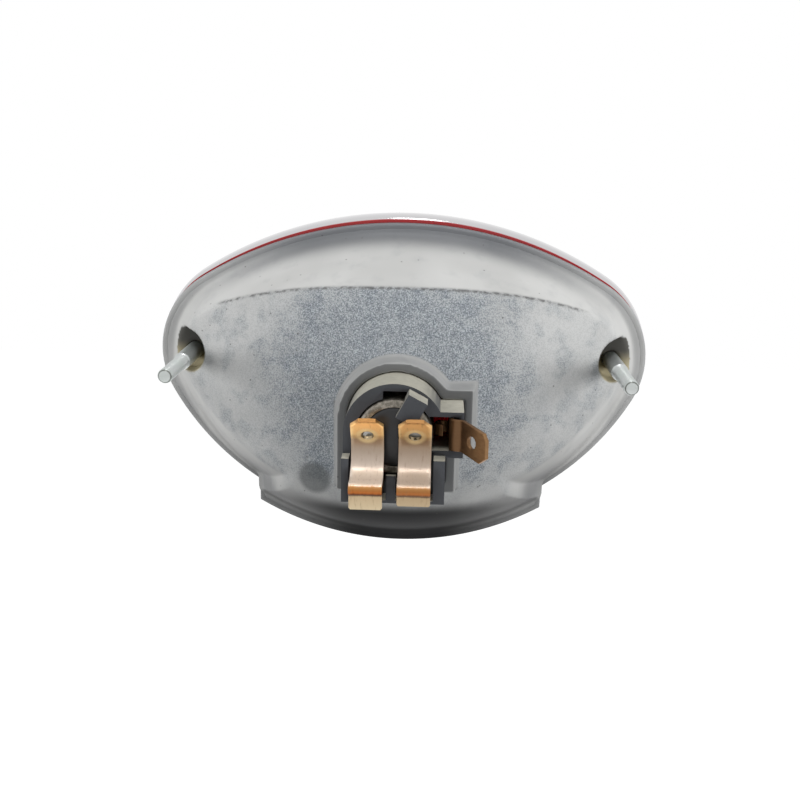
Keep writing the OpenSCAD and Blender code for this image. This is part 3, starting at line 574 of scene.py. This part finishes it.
def bowl_reach(q):
    """Distance of the bowl's edge from the bulb's axis, in the flange's rear face."""
    way = (math.cos(q), math.sin(q))
    beside = bowl_skirt_half / max(abs(way[0]), 0.01)
    under = 0
    if way[1] < 0:
        under = reach((0, AXIS_Z), way, (0, flange_low_z), bowl_skirt_arc)
    return max(bowl_rim.reach((0, AXIS_Z), way), min(under, beside))


def crease_reach(q, rim, skin):
    """Distance from the bulb's axis at which the sloped wall meets the crowned rear face."""
    k = math.cos(q) ** 2 / (2 * CROWN_SIDE) + math.sin(q) ** 2 / (2 * CROWN_UP)
    c = (rim - skin) / WALL_SLOPE - BOWL_DEPTH + skin
    b = 1 / WALL_SLOPE
    return (b - math.sqrt(b * b - 4 * k * c)) / (2 * k)


def ring_solid(rings, first=None, last=None):
    """A closed mesh through rings of points in mm, with an end point at each side. Without end
    points the last ring joins the first."""
    form = bmesh.new()
    rows = [[form.verts.new(at_flange(*point)) for point in ring] for ring in rings]
    n = len(rows[0])
    for near, far in zip(rows, rows[1:] if first else rows[1:] + rows[:1]):
        for i in range(n):
            form.faces.new((near[i], near[(i + 1) % n], far[(i + 1) % n], far[i]))
    if first:
        ends = [form.verts.new(at_flange(*first)), form.verts.new(at_flange(*last))]
        for i in range(n):
            form.faces.new((ends[0], rows[0][(i + 1) % n], rows[0][i]))
            form.faces.new((ends[1], rows[-1][i], rows[-1][(i + 1) % n]))
    bmesh.ops.recalc_face_normals(form, faces=form.faces)
    mesh = bpy.data.meshes.new("solid")
    form.to_mesh(mesh)
    form.free()
    return mesh


def bowl_solid(skin, front):
    """The bowl's form, drawn in by skin and pushed forward to front."""
    turns = []
    corner = flange_low_z - math.sqrt(bowl_skirt_arc ** 2 - bowl_skirt_half ** 2)
    corner_q = math.atan2(corner - AXIS_Z, bowl_skirt_half)
    join_q = corner_q + math.radians(2.2)
    # Turns along the skirt, round one of its corners, along the eye, and round the other corner
    for a, b, n in ((-math.pi - corner_q, corner_q, 70), (corner_q, join_q, 3),
                    (join_q, math.pi - join_q, 230), (math.pi - join_q, math.pi - corner_q, 3)):
        turns += [a + (b - a) * i / n for i in range(n)]
    rays = []
    for q in turns:
        rim = bowl_reach(q)
        lean = math.degrees(math.asin(math.sin(q)))
        rays.append((q, rim, crease_reach(q, rim, skin), ROLL * ease((20 - lean) / 28)))
    mouth = front * WALL_SLOPE - skin
    rings = [[((rim + mouth) * math.cos(q), front, AXIS_Z + (rim + mouth) * math.sin(q))
              for q, rim, crease, roll in rays]]
    steps = [(0, i / WALL_STEPS) for i in range(0 if skin else -3, WALL_STEPS + 1)]
    steps += [(1, i / CROWN_STEPS) for i in range(CROWN_STEPS - 1, 0, -1)]
    for inner, share in steps:
        ring = []
        for q, rim, crease, roll in rays:
            far = crease * share if inner else (rim - skin) * (1 - share) + crease * share
            wall = (rim - skin - far) / WALL_SLOPE
            crown = (BOWL_DEPTH - skin - (far * math.cos(q)) ** 2 / (2 * CROWN_SIDE)
                     - (far * math.sin(q)) ** 2 / (2 * CROWN_UP))
            deep = soft_min(wall, crown, roll)
            if not skin:
                deep = -soft_min(-deep, 0.02, FOOT_FILLET)
            ring.append((far * math.cos(q), min(0, -deep), AXIS_Z + far * math.sin(q)))
        rings.append(ring)
    return ring_solid(rings, (0, front, AXIS_Z), (0, skin - BOWL_DEPTH, AXIS_Z))


def flange_points(inset, skirt_inset):
    """The flange's outline with its skirt, as points in mm."""
    half = SKIRT_HALF - skirt_inset
    eye = Eye(FLANGE_HALF - inset, FLANGE_TOP - inset, FLANGE_LOW - inset, END_RADIUS - inset, END_HEIGHT)
    low = flange_low_z - math.sqrt((flange_low_arc - inset) ** 2 - half * half)
    start = math.atan2(low, half)
    points = []
    for i in range(EYE_STEPS + 1):
        q = start + (math.pi - 2 * start) * i / EYE_STEPS
        far = eye.reach((0, 0), (math.cos(q), math.sin(q)))
        points.append((far * math.cos(q), far * math.sin(q)))
    lip = flange_low_arc + SKIRT_DROP - skirt_inset
    for i in range(LIP_STEPS + 1):
        x = -half + 2 * half * i / LIP_STEPS
        points.append((x, flange_low_z - math.sqrt(lip * lip - x * x)))
    return points


def flange_rings(steps, narrow=1.0):
    """The flange's outline at several depths: y, inset, and inset at the skirt."""
    return [[(x * narrow, y, z) for x, z in flange_points(inset, skirt)] for y, inset, skirt in steps]


def flange_solid(steps, narrow=1.0):
    """A solid form through the flange's outline at several depths."""
    return ring_solid(flange_rings(steps, narrow), (0, steps[0][0], AXIS_Z), (0, steps[-1][0], AXIS_Z))


def turned_solid(x, z, profile, n=96):
    """A lathe-turned form about the line at x and z, through circles of y and radius."""
    rings = [[(x + r * math.cos(i * math.tau / n), y, z + r * math.sin(i * math.tau / n))
              for i in range(n)] for y, r in profile]
    return ring_solid(rings, (x, profile[0][0], z), (x, profile[-1][0], z))


def bar_solids(x, z, y0, y1, radius, n=96):
    """Two round bars from y0 to y1, one on either side of the lamp."""
    return [turned_solid(side * x, z, [(y0, radius), (y1, radius)], n) for side in (-1, 1)]


def block_solid(x0, x1, z0, z1, y0, y1, draft=0.0):
    """A block that is wider by draft all round at y1."""
    rings = [[(x0 - d, y, z0 - d), (x1 + d, y, z0 - d), (x1 + d, y, z1 + d), (x0 - d, y, z1 + d)]
             for y, d in ((y0, 0.0), (y1, draft))]
    middle = ((x0 + x1) / 2, (z0 + z1) / 2)
    return ring_solid(rings, (middle[0], y0, middle[1]), (middle[0], y1, middle[1]))


def holder_solids(grow, y0, y1, draft=0.0):
    """The holder's outline as seen from behind, as three solids that overlap."""
    r = HOLDER_RADIUS + grow
    wing = (0, WING_X + grow, AXIS_Z - WING_LOW - grow, AXIS_Z + WING_TOP + grow)
    return [turned_solid(0, AXIS_Z + ARCH_UP, [(y0, r), (y1, r + draft)]),
            block_solid(-r, r, AXIS_Z - HOLDER_LOW - grow, AXIS_Z + ARCH_UP, y0, y1, draft),
            block_solid(*wing, y0, y1, draft)]


def carved(mesh, cuts, added=()):
    """The mesh after some solids have been joined to it, and others then cut from it."""
    for operation, solid in [("UNION", each) for each in added] + [("DIFFERENCE", each) for each in cuts]:
        holder = placed("carving", mesh)
        tool = placed("tool", solid)
        carve = holder.modifiers.new("carve", "BOOLEAN")
        carve.operation = operation
        carve.solver = "MANIFOLD"
        carve.object = tool
        mesh = baked(holder)
        bpy.data.objects.remove(tool)
    return mesh


def cast_over(mesh, grain, turns):
    """The mesh in an even skin, whose edges and corners are rounded as a casting's are."""
    holder = placed("skin", mesh)
    skin = holder.modifiers.new("skin", "REMESH")
    skin.mode = "VOXEL"
    skin.voxel_size = grain * MM
    skin.use_smooth_shade = True
    worn = holder.modifiers.new("worn", "SMOOTH")
    worn.factor = 0.5
    worn.iterations = turns
    mesh = baked(holder)
    mesh.shade_smooth()
    return mesh


def holder_gap(x, z):
    """How far a point lies outside the holder's outline, in mm."""
    upper = math.hypot(x, z - AXIS_Z - ARCH_UP) - HOLDER_RADIUS
    lower = max(abs(x) - HOLDER_RADIUS, AXIS_Z - HOLDER_LOW - z, z - AXIS_Z - ARCH_UP)
    wing = max(-x, x - WING_X, AXIS_Z - WING_LOW - z, z - AXIS_Z - WING_TOP)
    return min(upper, lower, wing)


# Reach of the marks on the casting, in mm: the boss's skin beyond the holder, the pockets' rims,
# and the crease's dark line, across and to either side; and the size of a cell of its skin
BOSS_SKIN, POCKET_RIM, CREASE_HALF, CREASE_END = 3.4, 4.9, 0.4, 41.0
CAST_GRAIN = 0.46


def mark_casting(mesh):
    """Marks the skin for its finish: the blasted rear face, the crease over it, the boss and the
    stud pockets."""
    for name in CAST_MARKS:
        mesh.attributes.new(name, "FLOAT", "POINT")
    blasted, crease, boss, pocket = [mesh.attributes[name].data for name in CAST_MARKS]
    for i, vertex in enumerate(mesh.vertices):
        x, deep, z = vertex.co.x / MM, (flange_y - vertex.co.y) / MM, vertex.co.z / MM
        if deep < 1.0:
            continue
        q = math.atan2(z - AXIS_Z, x)
        far = math.hypot(x, z - AXIS_Z)
        rim = bowl_reach(q)
        wall = (rim - far) / WALL_SLOPE
        crown = BOWL_DEPTH - x * x / (2 * CROWN_SIDE) - (z - AXIS_Z) ** 2 / (2 * CROWN_UP)
        lean = math.degrees(math.asin(math.sin(q)))
        sharp = ease((lean - 18) / 14)
        outside = ease((deep - min(wall, crown) + 1.8) / 0.8)
        within = (wall - crown) * WALL_SLOPE
        on_boss = ease((BOSS_SKIN - holder_gap(x, z)) / 0.6) * ease((deep - crown + 0.6) / 0.5)
        pocket[i].value = ease((POCKET_RIM - math.hypot(abs(x) - POCKET_X, z - POCKET_Z)) / 0.3)
        boss[i].value = on_boss
        blasted[i].value = (1 - on_boss) * outside * ease(0.5 + within / (0.8 + 4 * (1 - sharp)))
        if lean >= 10:
            crease_line = ease(1 - abs(within - 0.1) / CREASE_HALF)
            crease[i].value = outside * crease_line * ease((CREASE_END - abs(x)) / 5)
    return mesh


def casting_form():
    """The bowl with its flange and boss, hollowed, with its pockets, holes and gasket groove cut.
    The flange is drawn in a little here, so that its crisp edge covers it."""
    added = [flange_solid([(0, 1.25, 0.95), (FLANGE_T, 0.85, 0.6)])]
    added += holder_solids(BOSS_WALL, -BOSS_REAR, -BOSS_FRONT, BOSS_DRAFT)
    spared = holder_solids(BOSS_WALL, -BOSS_REAR, -BOSS_FRONT)
    spared += bar_solids(POCKET_X, POCKET_Z, -BOWL_DEPTH, 0.4, POCKET_R + POCKET_WALL)
    cuts = [carved(bowl_solid(BOWL_WALL, 3), spared)]
    cuts += holder_solids(HOLDER_PLAY, -BOSS_REAR - 1, -BOSS_FRONT + 1)
    cuts += bar_solids(POCKET_X, POCKET_Z, -BOWL_DEPTH, -POCKET_WALL, POCKET_R)
    cuts += bar_solids(STUD_X, 0, -2.9, 3, STUD_HOLE_R, 48)
    groove = flange_solid([(FLANGE_T - GROOVE_DEEP, GROOVE_OUT, GROOVE_OUT), (3, GROOVE_OUT, GROOVE_OUT)])
    cuts.append(carved(groove, [flange_solid([(0, GROOVE_IN, GROOVE_IN), (4, GROOVE_IN, GROOVE_IN)])]))
    return carved(bowl_solid(0, 0.5), cuts, added)


def flange_edge():
    """The flange's crisp outer edge, which a remeshed skin can't hold, as a ring."""
    return ring_solid(flange_rings([
        (2, 0.4, 0.1), (0.5, 0.45, 0.15), (0.2, 0.55, 0.25), (0.03, 0.75, 0.4), (0, 1.0, 0.7),
        (0, 1.5, 1.2), (0.12, 2.1, 1.9), (0.9, 2.1, 1.9), (0.9, 0.88, 0.7), (2, 0.88, 0.7)]))


def joined(*meshes):
    """Several closed meshes as one piece."""
    form = bmesh.new()
    for mesh in meshes:
        form.from_mesh(mesh)
    whole = bpy.data.meshes.new("whole")
    form.to_mesh(whole)
    form.free()
    whole.shade_smooth()
    return whole


casting = joined(cast_over(casting_form(), CAST_GRAIN, 3), flange_edge())
new_piece("casting_shell", mark_casting(casting), "casting", "casing", "housing")


# The front: a red lens with a wide flange, and the bright rim that covers the flange
FRONT_NARROW = 1 - 0.87 / FLANGE_HALF
LENS_BACK, LENS_FACE, LENS_REACH, LENS_WALL = 2.0, 3.8, 28.0, 2.0
LENS_HALF, LENS_TOP, LENS_LOW, LENS_END, LENS_MIDDLE = 40.0, 24.0, 35.0, 14.0, -5.0
DOME_STEPS, DOME_LEAN, DOME_SWELL, FLUTE_DEPTH, FLUTE_PITCH = 48, 88, 0.62, 0.3, 3.2
RIM_FRONT, RIM_DEPTH, RIM_WALL, RIM_BULGE, BULGE_Y, RIM_IN = 12.8, 9.0, 1.6, 1.3, 4.2, 2.0
WINDOW_CUT = (-27, 27, -45.7, -29.7, 5.4, 10.4)
SHANK_R, HEAD_R, HEAD_H, SCREW_PLAY, PILLAR_R = 1.8, 3.2, 2.2, 0.1, 4.0


def front_solid(steps):
    """A form through the flange's outline, a little narrower than the casting: y and inset."""
    return flange_solid([(y, inset, inset) for y, inset in steps], FRONT_NARROW)


def lens_outline(inset):
    """The dome's outline, as turns about its middle and distances."""
    eye = Eye(LENS_HALF - inset, LENS_TOP - inset, LENS_LOW - inset, LENS_END - inset, END_HEIGHT)
    turns = [i * math.tau / 224 for i in range(224)]
    return [(q, eye.reach((0, LENS_MIDDLE), (math.cos(q), math.sin(q)))) for q in turns]


def dome(inset, y0, top, flute=0.0):
    """The lens's dome, drawn in by inset; flute is the depth of upright flutes on it."""
    base = RIM_FRONT - RIM_WALL
    outline = lens_outline(inset)
    rings = [[(r * math.cos(q), y0, LENS_MIDDLE + r * math.sin(q)) for q, r in outline]]
    for i in range(DOME_STEPS + 1):
        lean = math.radians(DOME_LEAN * i / DOME_STEPS)
        ring = []
        for q, r in outline:
            s = r * math.cos(lean) ** DOME_SWELL
            x = s * math.cos(q)
            wave = 0.5 - 0.5 * math.cos(x / FLUTE_PITCH * math.tau)
            dip = flute * ease(math.sin(lean) * 2 - 0.4) * wave
            ring.append((x, base + (top - base) * math.sin(lean) - dip, LENS_MIDDLE + s * math.sin(q)))
        rings.append(ring)
    return ring_solid(rings, (0, y0, LENS_MIDDLE), (0, top - flute * 0.5, LENS_MIDDLE))


def opening(grow, front_grow):
    """The opening for the dome, wider than it by grow and at the front by front_grow."""
    rings = [[((r + d) * math.cos(q), y, LENS_MIDDLE + (r + d) * math.sin(q)) for q, r in lens_outline(0)]
             for y, d in ((3, grow), (RIM_FRONT - 0.3, grow), (RIM_FRONT + 0.1, front_grow))]
    return ring_solid(rings, (0, 3, LENS_MIDDLE), (0, RIM_FRONT + 0.1, LENS_MIDDLE))


def lens_form():
    """The lens: a flat edge with broken corners, and a hollow dome with flutes inside."""
    edge = -0.3
    plate = front_solid([(LENS_BACK, edge + 0.12), (LENS_BACK + 0.12, edge), (LENS_FACE - 0.12, edge),
                         (LENS_FACE, edge + 0.12)])
    inside = dome(LENS_WALL, LENS_BACK - 0.1, LENS_REACH - LENS_WALL, FLUTE_DEPTH)
    holes = bar_solids(STUD_X, 0, 1, 5, SHANK_R + SCREW_PLAY, 48)
    return carved(plate, [inside, *holes], [dome(0, LENS_BACK + 0.5, LENS_REACH)])


def rim_form():
    """The rim: its side swells out to a bulge and rolls in to the front, and it is hollow behind."""
    steps = []
    for i in range(15):
        a = math.radians(90 - 6 * i)
        steps.append((LENS_FACE + BULGE_Y * (1 - math.sin(a)),
                      (RIM_BULGE - 0.15) * (1 - math.cos(a)) - RIM_BULGE))
    for i in range(19):
        a = math.radians(5 * i)
        steps.append((LENS_FACE + BULGE_Y + (RIM_DEPTH - BULGE_Y) * math.sin(a),
                      (RIM_IN + RIM_BULGE) * (1 - math.cos(a)) - RIM_BULGE))
    inside = RIM_WALL + 0.1
    hollow = carved(front_solid([(LENS_FACE - 1, inside), (RIM_FRONT - RIM_WALL, inside)]),
                    bar_solids(STUD_X, 0, 2, RIM_FRONT, PILLAR_R))
    shanks = bar_solids(STUD_X, 0, 2, 14, SHANK_R + SCREW_PLAY, 48)
    heads = bar_solids(STUD_X, 0, RIM_FRONT - HEAD_H, 14, HEAD_R + SCREW_PLAY)
    return carved(front_solid(steps), [
        opening(0.4, 0.75), hollow, *shanks, *heads, block_solid(*WINDOW_CUT)])


new_piece("lens_shell", smooth(lens_form()), "red_lens", "casing", "lens")
new_piece("rim", smooth(rim_form()), "bright_trim", "casing", "bezel")


# The two spring contacts, each a strip that runs from its blade round to a hairpin, and their feet
STRIP_T, BLADE_W, STRIP_EDGE, STRIP_BOW, CHAMFER = 0.8, 6.3, 0.13, 0.08, 1.5
HAIRPIN_MIDDLE, HAIRPIN_R, BELLY_END, HAIRPIN_END = Vector((-44.4, -16.9)), 0.9, -78, 238
FOOT_Z, FOOT_IN, FOOT_BACK, FOOT_BEND = -17.8, -31.0, -43.9, 0.5
FOOT_DROP = (3.2, 2.3)


def turn(middle, radius, start, stop, n):
    """Points round an arc, in mm, as (y, z); the angles are in degrees."""
    return [middle + radius * round_way(start + (stop - start) * i / n) for i in range(n + 1)]


def straight(a, b, n):
    """Points from a towards b, which is left out."""
    return [a.lerp(b, i / n) for i in range(n)]


def strip_solid(x, line, corner, bow=0.0):
    """A strip along line, bowed across by bow, whose first end has its corners cut by corner."""
    half, edge = BLADE_W / 2, STRIP_EDGE
    profile = []
    for u, v, q0 in ((1, 1, 0), (-1, 1, 90), (-1, -1, 180), (1, -1, 270)):
        for i in range(4):
            way = round_way(q0 + 30 * i)
            profile.append((u * (half - edge) + edge * way.x, v * (STRIP_T / 2 - edge) + edge * way.y))
        if u == v:
            profile += [(u * (half - edge) * (1 - i / 5), v * STRIP_T / 2) for i in range(1, 10)]
    profile = [(u, v + bow * (1 - (u / half) ** 2)) for u, v in profile]
    rings = []
    far = 0.0
    for i, point in enumerate(line):
        if i:
            far += (point - line[i - 1]).length
        ahead = (line[min(i + 1, len(line) - 1)] - line[max(i - 1, 0)]).normalized()
        side = Vector((-ahead.y, ahead.x))
        narrow = 1 - max(0.0, corner - far) / half
        rings.append([(x + u * narrow, point.x + v * side.x, point.y + v * side.y) for u, v in profile])
    return ring_solid(rings, (x, *line[0]), (x, *line[-1]))


def blade_hole(x, middle, ahead):
    """A hole with lightly broken edges, through the strip at middle."""
    through = Vector((-ahead.y, ahead.x))
    rings = []
    for deep, r in ((-1.0, HOLE_R + 0.67), (-0.4, HOLE_R + 0.07), (-0.33, HOLE_R), (0.33, HOLE_R),
                    (0.4, HOLE_R + 0.07), (1.0, HOLE_R + 0.67)):
        ring = []
        for i in range(48):
            q = i * math.tau / 48
            point = middle + through * deep + ahead * (r * math.sin(q))
            ring.append((x + r * math.cos(q), point.x, point.y))
        rings.append(ring)
    return ring_solid(rings, (x, *(middle - through)), (x, *(middle + through)))


def spring_strip(x):
    """A spring contact: its blade, the round belly that the bulb pushes, and the hairpin."""
    belly = turn(SPRING_MIDDLE, SPRING_R, SPRING_START, BELLY_END, 58)
    gap = belly[-1] - HAIRPIN_MIDDLE
    start = math.degrees(math.atan2(gap.y, gap.x) + math.acos(HAIRPIN_R / gap.length))
    hairpin = turn(HAIRPIN_MIDDLE, HAIRPIN_R, start, HAIRPIN_END, 26)
    line = straight(blade_tip, belly[0], 32) + belly[:-1] + straight(belly[-1], hairpin[0], 8) + hairpin
    return carved(strip_solid(x, line, CHAMFER, STRIP_BOW), [blade_hole(x, blade_hole_at, blade_way)])


def spring_foot(x, drop):
    """The fixed foot of a spring contact, whose rear end turns down by drop."""
    corner = Vector((FOOT_BACK + FOOT_BEND, FOOT_Z - FOOT_BEND))
    bend = turn(corner, FOOT_BEND, 180, 90, 10)
    inner = Vector((FOOT_IN, FOOT_Z))
    line = straight(Vector((FOOT_BACK, FOOT_Z - drop)), bend[0], 8) + bend[:-1]
    return strip_solid(x, line + straight(bend[-1], inner, 8) + [inner], 0.25)


for name, x in zip(("tail", "stop"), STRIP_X):
    new_piece(name + "_spring_strip", smooth(spring_strip(x)), "contact_brass", name + "_spring",
              name + "_contact")
feet = joined(*[spring_foot(x, drop) for x, drop in zip(STRIP_X, FOOT_DROP)])
new_piece("spring_feet", smooth(feet), "contact_brass", "casing", "contact_feet")
new_piece("earth_blade", cast_over(cad_mesh("earth_terminal"), 0.12, 2), "earth", "casing",
          "earth_terminal")


# The two long screws: a slotted head, a shank, and a threaded end behind the shoulder
PITCH, THREAD_DEPTH, STUD_OUT, THREAD_LEN = 0.5, 0.27, -29.0, 14.0
TIP_SHARE, TIP_SLOPE, SLOT_HALF, SLOT_DEEP = 0.72, 1.1, 0.5, 0.9


def thread(length, radius, pitch, depth):
    """A screw thread along +Y with a chamfered start, closed at both ends."""
    g = Growth("screw_thread", {"Length": length, "Radius": radius, "Pitch": pitch, "Depth": depth,
                                "Around": 37, "Along": 281})
    grid = g.wire("GeometryNodeMeshGrid", {}, {"Size X": 1.0, "Size Y": 1.0, "Vertices X": g.size["Around"],
                                               "Vertices Y": g.size["Along"]})
    x, y = g.axes(g.wire("GeometryNodeInputPosition"))[:2]
    round_share = x + 0.5
    share = y + 0.5
    along = share * g.size["Length"]
    wave = g.math("PINGPONG", along / g.size["Pitch"] - round_share + 40.0, 0.5) * 2
    crest = g.step(wave, 0.1, 0.85)
    radius_here = g.size["Radius"] - g.size["Depth"] * (1 - crest)
    chamfer = g.size["Radius"] * TIP_SHARE + along * TIP_SLOPE
    inside = g.math("COMPARE", share, 0.5, 0.4995)
    reach_here = g.math("MINIMUM", radius_here, chamfer) * inside
    turned = round_share * math.tau
    spot = g.wire("ShaderNodeCombineXYZ", {}, {
        0: reach_here * g.math("COSINE", turned), 1: along, 2: reach_here * g.math("SINE", turned)})
    moved = g.wire("GeometryNodeSetPosition", {}, {"Geometry": grid, "Position": spot})
    sealed = g.wire("GeometryNodeMergeByDistance", {}, {0: moved, "Distance": 0.002 * MM})
    return g.grown(sealed, "zinc_steel")


def outward(mesh):
    """The mesh with all its faces turned outwards."""
    form = bmesh.new()
    form.from_mesh(mesh)
    bmesh.ops.recalc_face_normals(form, faces=form.faces)
    form.to_mesh(mesh)
    form.free()
    return mesh


def fixing_screws():
    """Both long screws: the thread, the shank from its shoulder on, and the slotted head."""
    parts = []
    for x in (-STUD_X, STUD_X):
        screw = thread((THREAD_LEN + 0.2) * MM, THREAD_R * MM, PITCH * MM, THREAD_DEPTH * MM)
        screw.transform(Matrix.Translation(at_flange(x, STUD_OUT, 0)))
        shoulder = STUD_OUT + THREAD_LEN
        top = RIM_FRONT - HEAD_H
        body = turned_solid(x, 0, [
            (shoulder, THREAD_R), (shoulder + 0.3, SHANK_R), (top + 0.65, SHANK_R),
            (top + 0.65, HEAD_R - 0.15), (top + 0.8, HEAD_R), (RIM_FRONT - 0.6, HEAD_R),
            (RIM_FRONT - 0.35, HEAD_R - 0.1), (RIM_FRONT - 0.12, HEAD_R - 0.4),
            (RIM_FRONT - 0.05, HEAD_R - 0.7)], 64)
        slot = block_solid(x - 2 * HEAD_R, x + 2 * HEAD_R, -SLOT_HALF, SLOT_HALF,
                           RIM_FRONT - SLOT_DEEP, RIM_FRONT + 0.5)
        parts += [outward(screw), carved(body, [slot])]
    return joined(*parts)


new_piece("fixing_screws", smooth(fixing_screws(), 40), "zinc_steel", "casing",
          "fixing_studs")


# The bulb's two filaments, fine coils of wire between their supports
COIL_LEN, WIRE_R = 5.6, 0.05


def filament(name, y, z, radius, turns):
    """A coil of wire across the bulb, whose middle is at y and z."""
    g = Growth(name, {"Turns": float(turns), "Radius": radius * MM, "Length": COIL_LEN * MM,
                      "Wire": WIRE_R * MM})
    coil = g.wire("GeometryNodeCurveSpiral", {}, {
        "Resolution": 14, "Rotations": g.size["Turns"], "Start Radius": g.size["Radius"],
        "End Radius": g.size["Radius"], "Height": g.size["Length"]})
    wire = g.wire("GeometryNodeCurvePrimitiveCircle", {}, {"Resolution": 6, "Radius": g.size["Wire"]})
    tube = g.wire("GeometryNodeCurveToMesh", {}, {"Curve": coil, "Profile Curve": wire, "Fill Caps": True})
    mesh = g.grown(tube, "tungsten")
    start = Matrix.Translation(at_flange(-COIL_LEN / 2, y, z))
    mesh.transform(start @ Matrix.Rotation(math.radians(90), 4, "Y"))
    return smooth(mesh, 60)


for name, y, z, radius, turns in (("tail_filament", -6.4, -11.4, 0.19, 22),
                                  ("stop_filament", -2.4, -6.6, 0.29, 18)):
    coil = filament(name + "_coil", y, z, radius, turns)
    new_piece(name + "_coil", coil, "tungsten", "bulb", name)


# Pieces whose CAD form is right and only wants rounded edges: node, width, finish and slot, body
ROUNDED = {
    "window_strip": ("plate_window", 0.15, "clear_window", "casing"),
    "holder_body": ("bulb_holder", 0.2, "holder_plastic", "casing"),
    "cap_shell": ("bulb_cap", 0.15, "cap_metal", "bulb"),
    "cap_insulator": ("bulb_insulator", 0.2, "insulator", "bulb")}
for name, (node, width, finish, body) in ROUNDED.items():
    new_piece(name, rounded(node, width), finish, body, node)
new_piece("envelope", smooth(cad_mesh("bulb_glass"), 40), "clear_glass", "bulb",
          "bulb_glass")

# CAD nodes that are shown as they are, with their finish
CAD_FINISH = {
    "housing_gasket": "rubber", "screw_seals": "rubber", "bulb_pins": "cap_metal",
    "bulb_contacts": "solder", "bulb_stem": "clear_glass", "filament_supports": "tungsten"}
for node, finish in CAD_FINISH.items():
    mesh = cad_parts[node].data
    mesh.materials.clear()
    mesh.materials.append(FINISH[finish])


# Studio: white card all round, seen by the camera, in metal and through glass; a large soft lamp
# overhead and one at either side, and a small one that only adds a glint
def white_rays(shade):
    """1 on the rays that show the background: straight, reflected or through something clear."""
    path = shade.node("ShaderNodeLightPath")
    straight, mirrored, through = (Wire(shade, path.outputs["Is %s Ray" % kind])
                                   for kind in ("Camera", "Glossy", "Transmission"))
    return shade.math("MAXIMUM", straight, shade.math("MAXIMUM", mirrored, through))


def studio():
    """Pale air that lights the lamp a little, and white card behind it."""
    world = bpy.data.worlds.new("studio_air")
    bpy.context.scene.world = world
    s = Shade("studio_air", world)
    air = s.wire("ShaderNodeBackground", {}, {"Color": (0.95, 0.97, 1.0, 1.0), "Strength": 0.1})
    card = s.wire("ShaderNodeBackground", {}, {"Color": (1.0, 1.0, 1.0, 1.0), "Strength": 1.0})
    both = s.wire("ShaderNodeMixShader", {}, {0: white_rays(s), 1: air, 2: card})
    s.node("ShaderNodeOutputWorld", {}, {"Surface": both})


def lamp(name, place, size, power, mirrored=True):
    """A round soft light that points at the object, seen in metal where mirrored is true."""
    light = bpy.data.lights.new(name, "AREA")
    light.shape = "DISK"
    light.size = size
    light.energy = power
    holder = placed(name, light)
    holder.location = place
    holder.rotation_euler = (-Vector(place)).to_track_quat("-Z", "Y").to_euler()
    holder.visible_glossy = mirrored


def floor():
    """A pale card under the lamp, white to the camera but for the lamp's own soft shadow."""
    s = Shade("floor_card")
    card = s.wire("ShaderNodeBsdfDiffuse", {}, {"Color": (0.5, 0.5, 0.5, 1)})
    glow = s.wire("ShaderNodeEmission", {}, {"Color": (1, 1, 1, 1), "Strength": 0.97})
    lit = s.wire("ShaderNodeAddShader", {}, {0: card, 1: glow})
    both = s.wire("ShaderNodeMixShader", {}, {0: white_rays(s), 1: card, 2: lit})
    s.node("ShaderNodeOutputMaterial", {}, {"Surface": both})
    mesh = bpy.data.meshes.new("floor")
    form = bmesh.new()
    bmesh.ops.create_grid(form, x_segments=1, y_segments=1, size=1.6)
    form.to_mesh(mesh)
    form.free()
    mesh.transform(Matrix.Translation((0, 0.5, -0.45)))
    mesh.materials.append(s.material)
    placed("floor", mesh)


# The camera's place in mm, its turns in degrees, and its focal length and the picture's width in pixels
EYE_PLACE = (7.79, -229.51, 47.61)
EYE_TURN, EYE_TILT, EYE_ROLL = -2.01, 14.29, -1.03
FOCAL_PIXELS, PICTURE_PIXELS = 1049.5, 800


def camera():
    """Behind the lamp and a little above it, as in the photograph."""
    swing, tilt, roll = (math.radians(angle) for angle in (EYE_TURN, EYE_TILT, EYE_ROLL))
    ahead = Vector((math.sin(swing) * math.cos(tilt), math.cos(swing) * math.cos(tilt), -math.sin(tilt)))
    right = Vector((math.cos(swing), -math.sin(swing), 0))
    down = ahead.cross(right)
    side = math.cos(roll) * right + math.sin(roll) * down
    foot = -math.sin(roll) * right + math.cos(roll) * down
    view = bpy.data.cameras.new("camera")
    view.sensor_width = 36
    view.lens = view.sensor_width * FOCAL_PIXELS / PICTURE_PIXELS
    view.clip_start = 0.01
    holder = placed("camera", view)
    holder.matrix_world = Matrix((side, -foot, -ahead)).transposed().to_4x4()
    holder.location = at_flange(*EYE_PLACE)
    bpy.context.scene.camera = holder


studio()
lamp("overhead", (0.0, -0.08, 0.62), 0.5, 2.85, mirrored=False)
lamp("glint", (0.01, -0.18, 0.56), 0.12, 0.4)
lamp("left_side", (-0.6, -0.24, 0.06), 0.4, 2.9, mirrored=False)
lamp("right_side", (0.58, -0.32, 0.1), 0.4, 3.8, mirrored=False)
floor()
camera()
bpy.context.scene.view_settings.view_transform = "Standard"
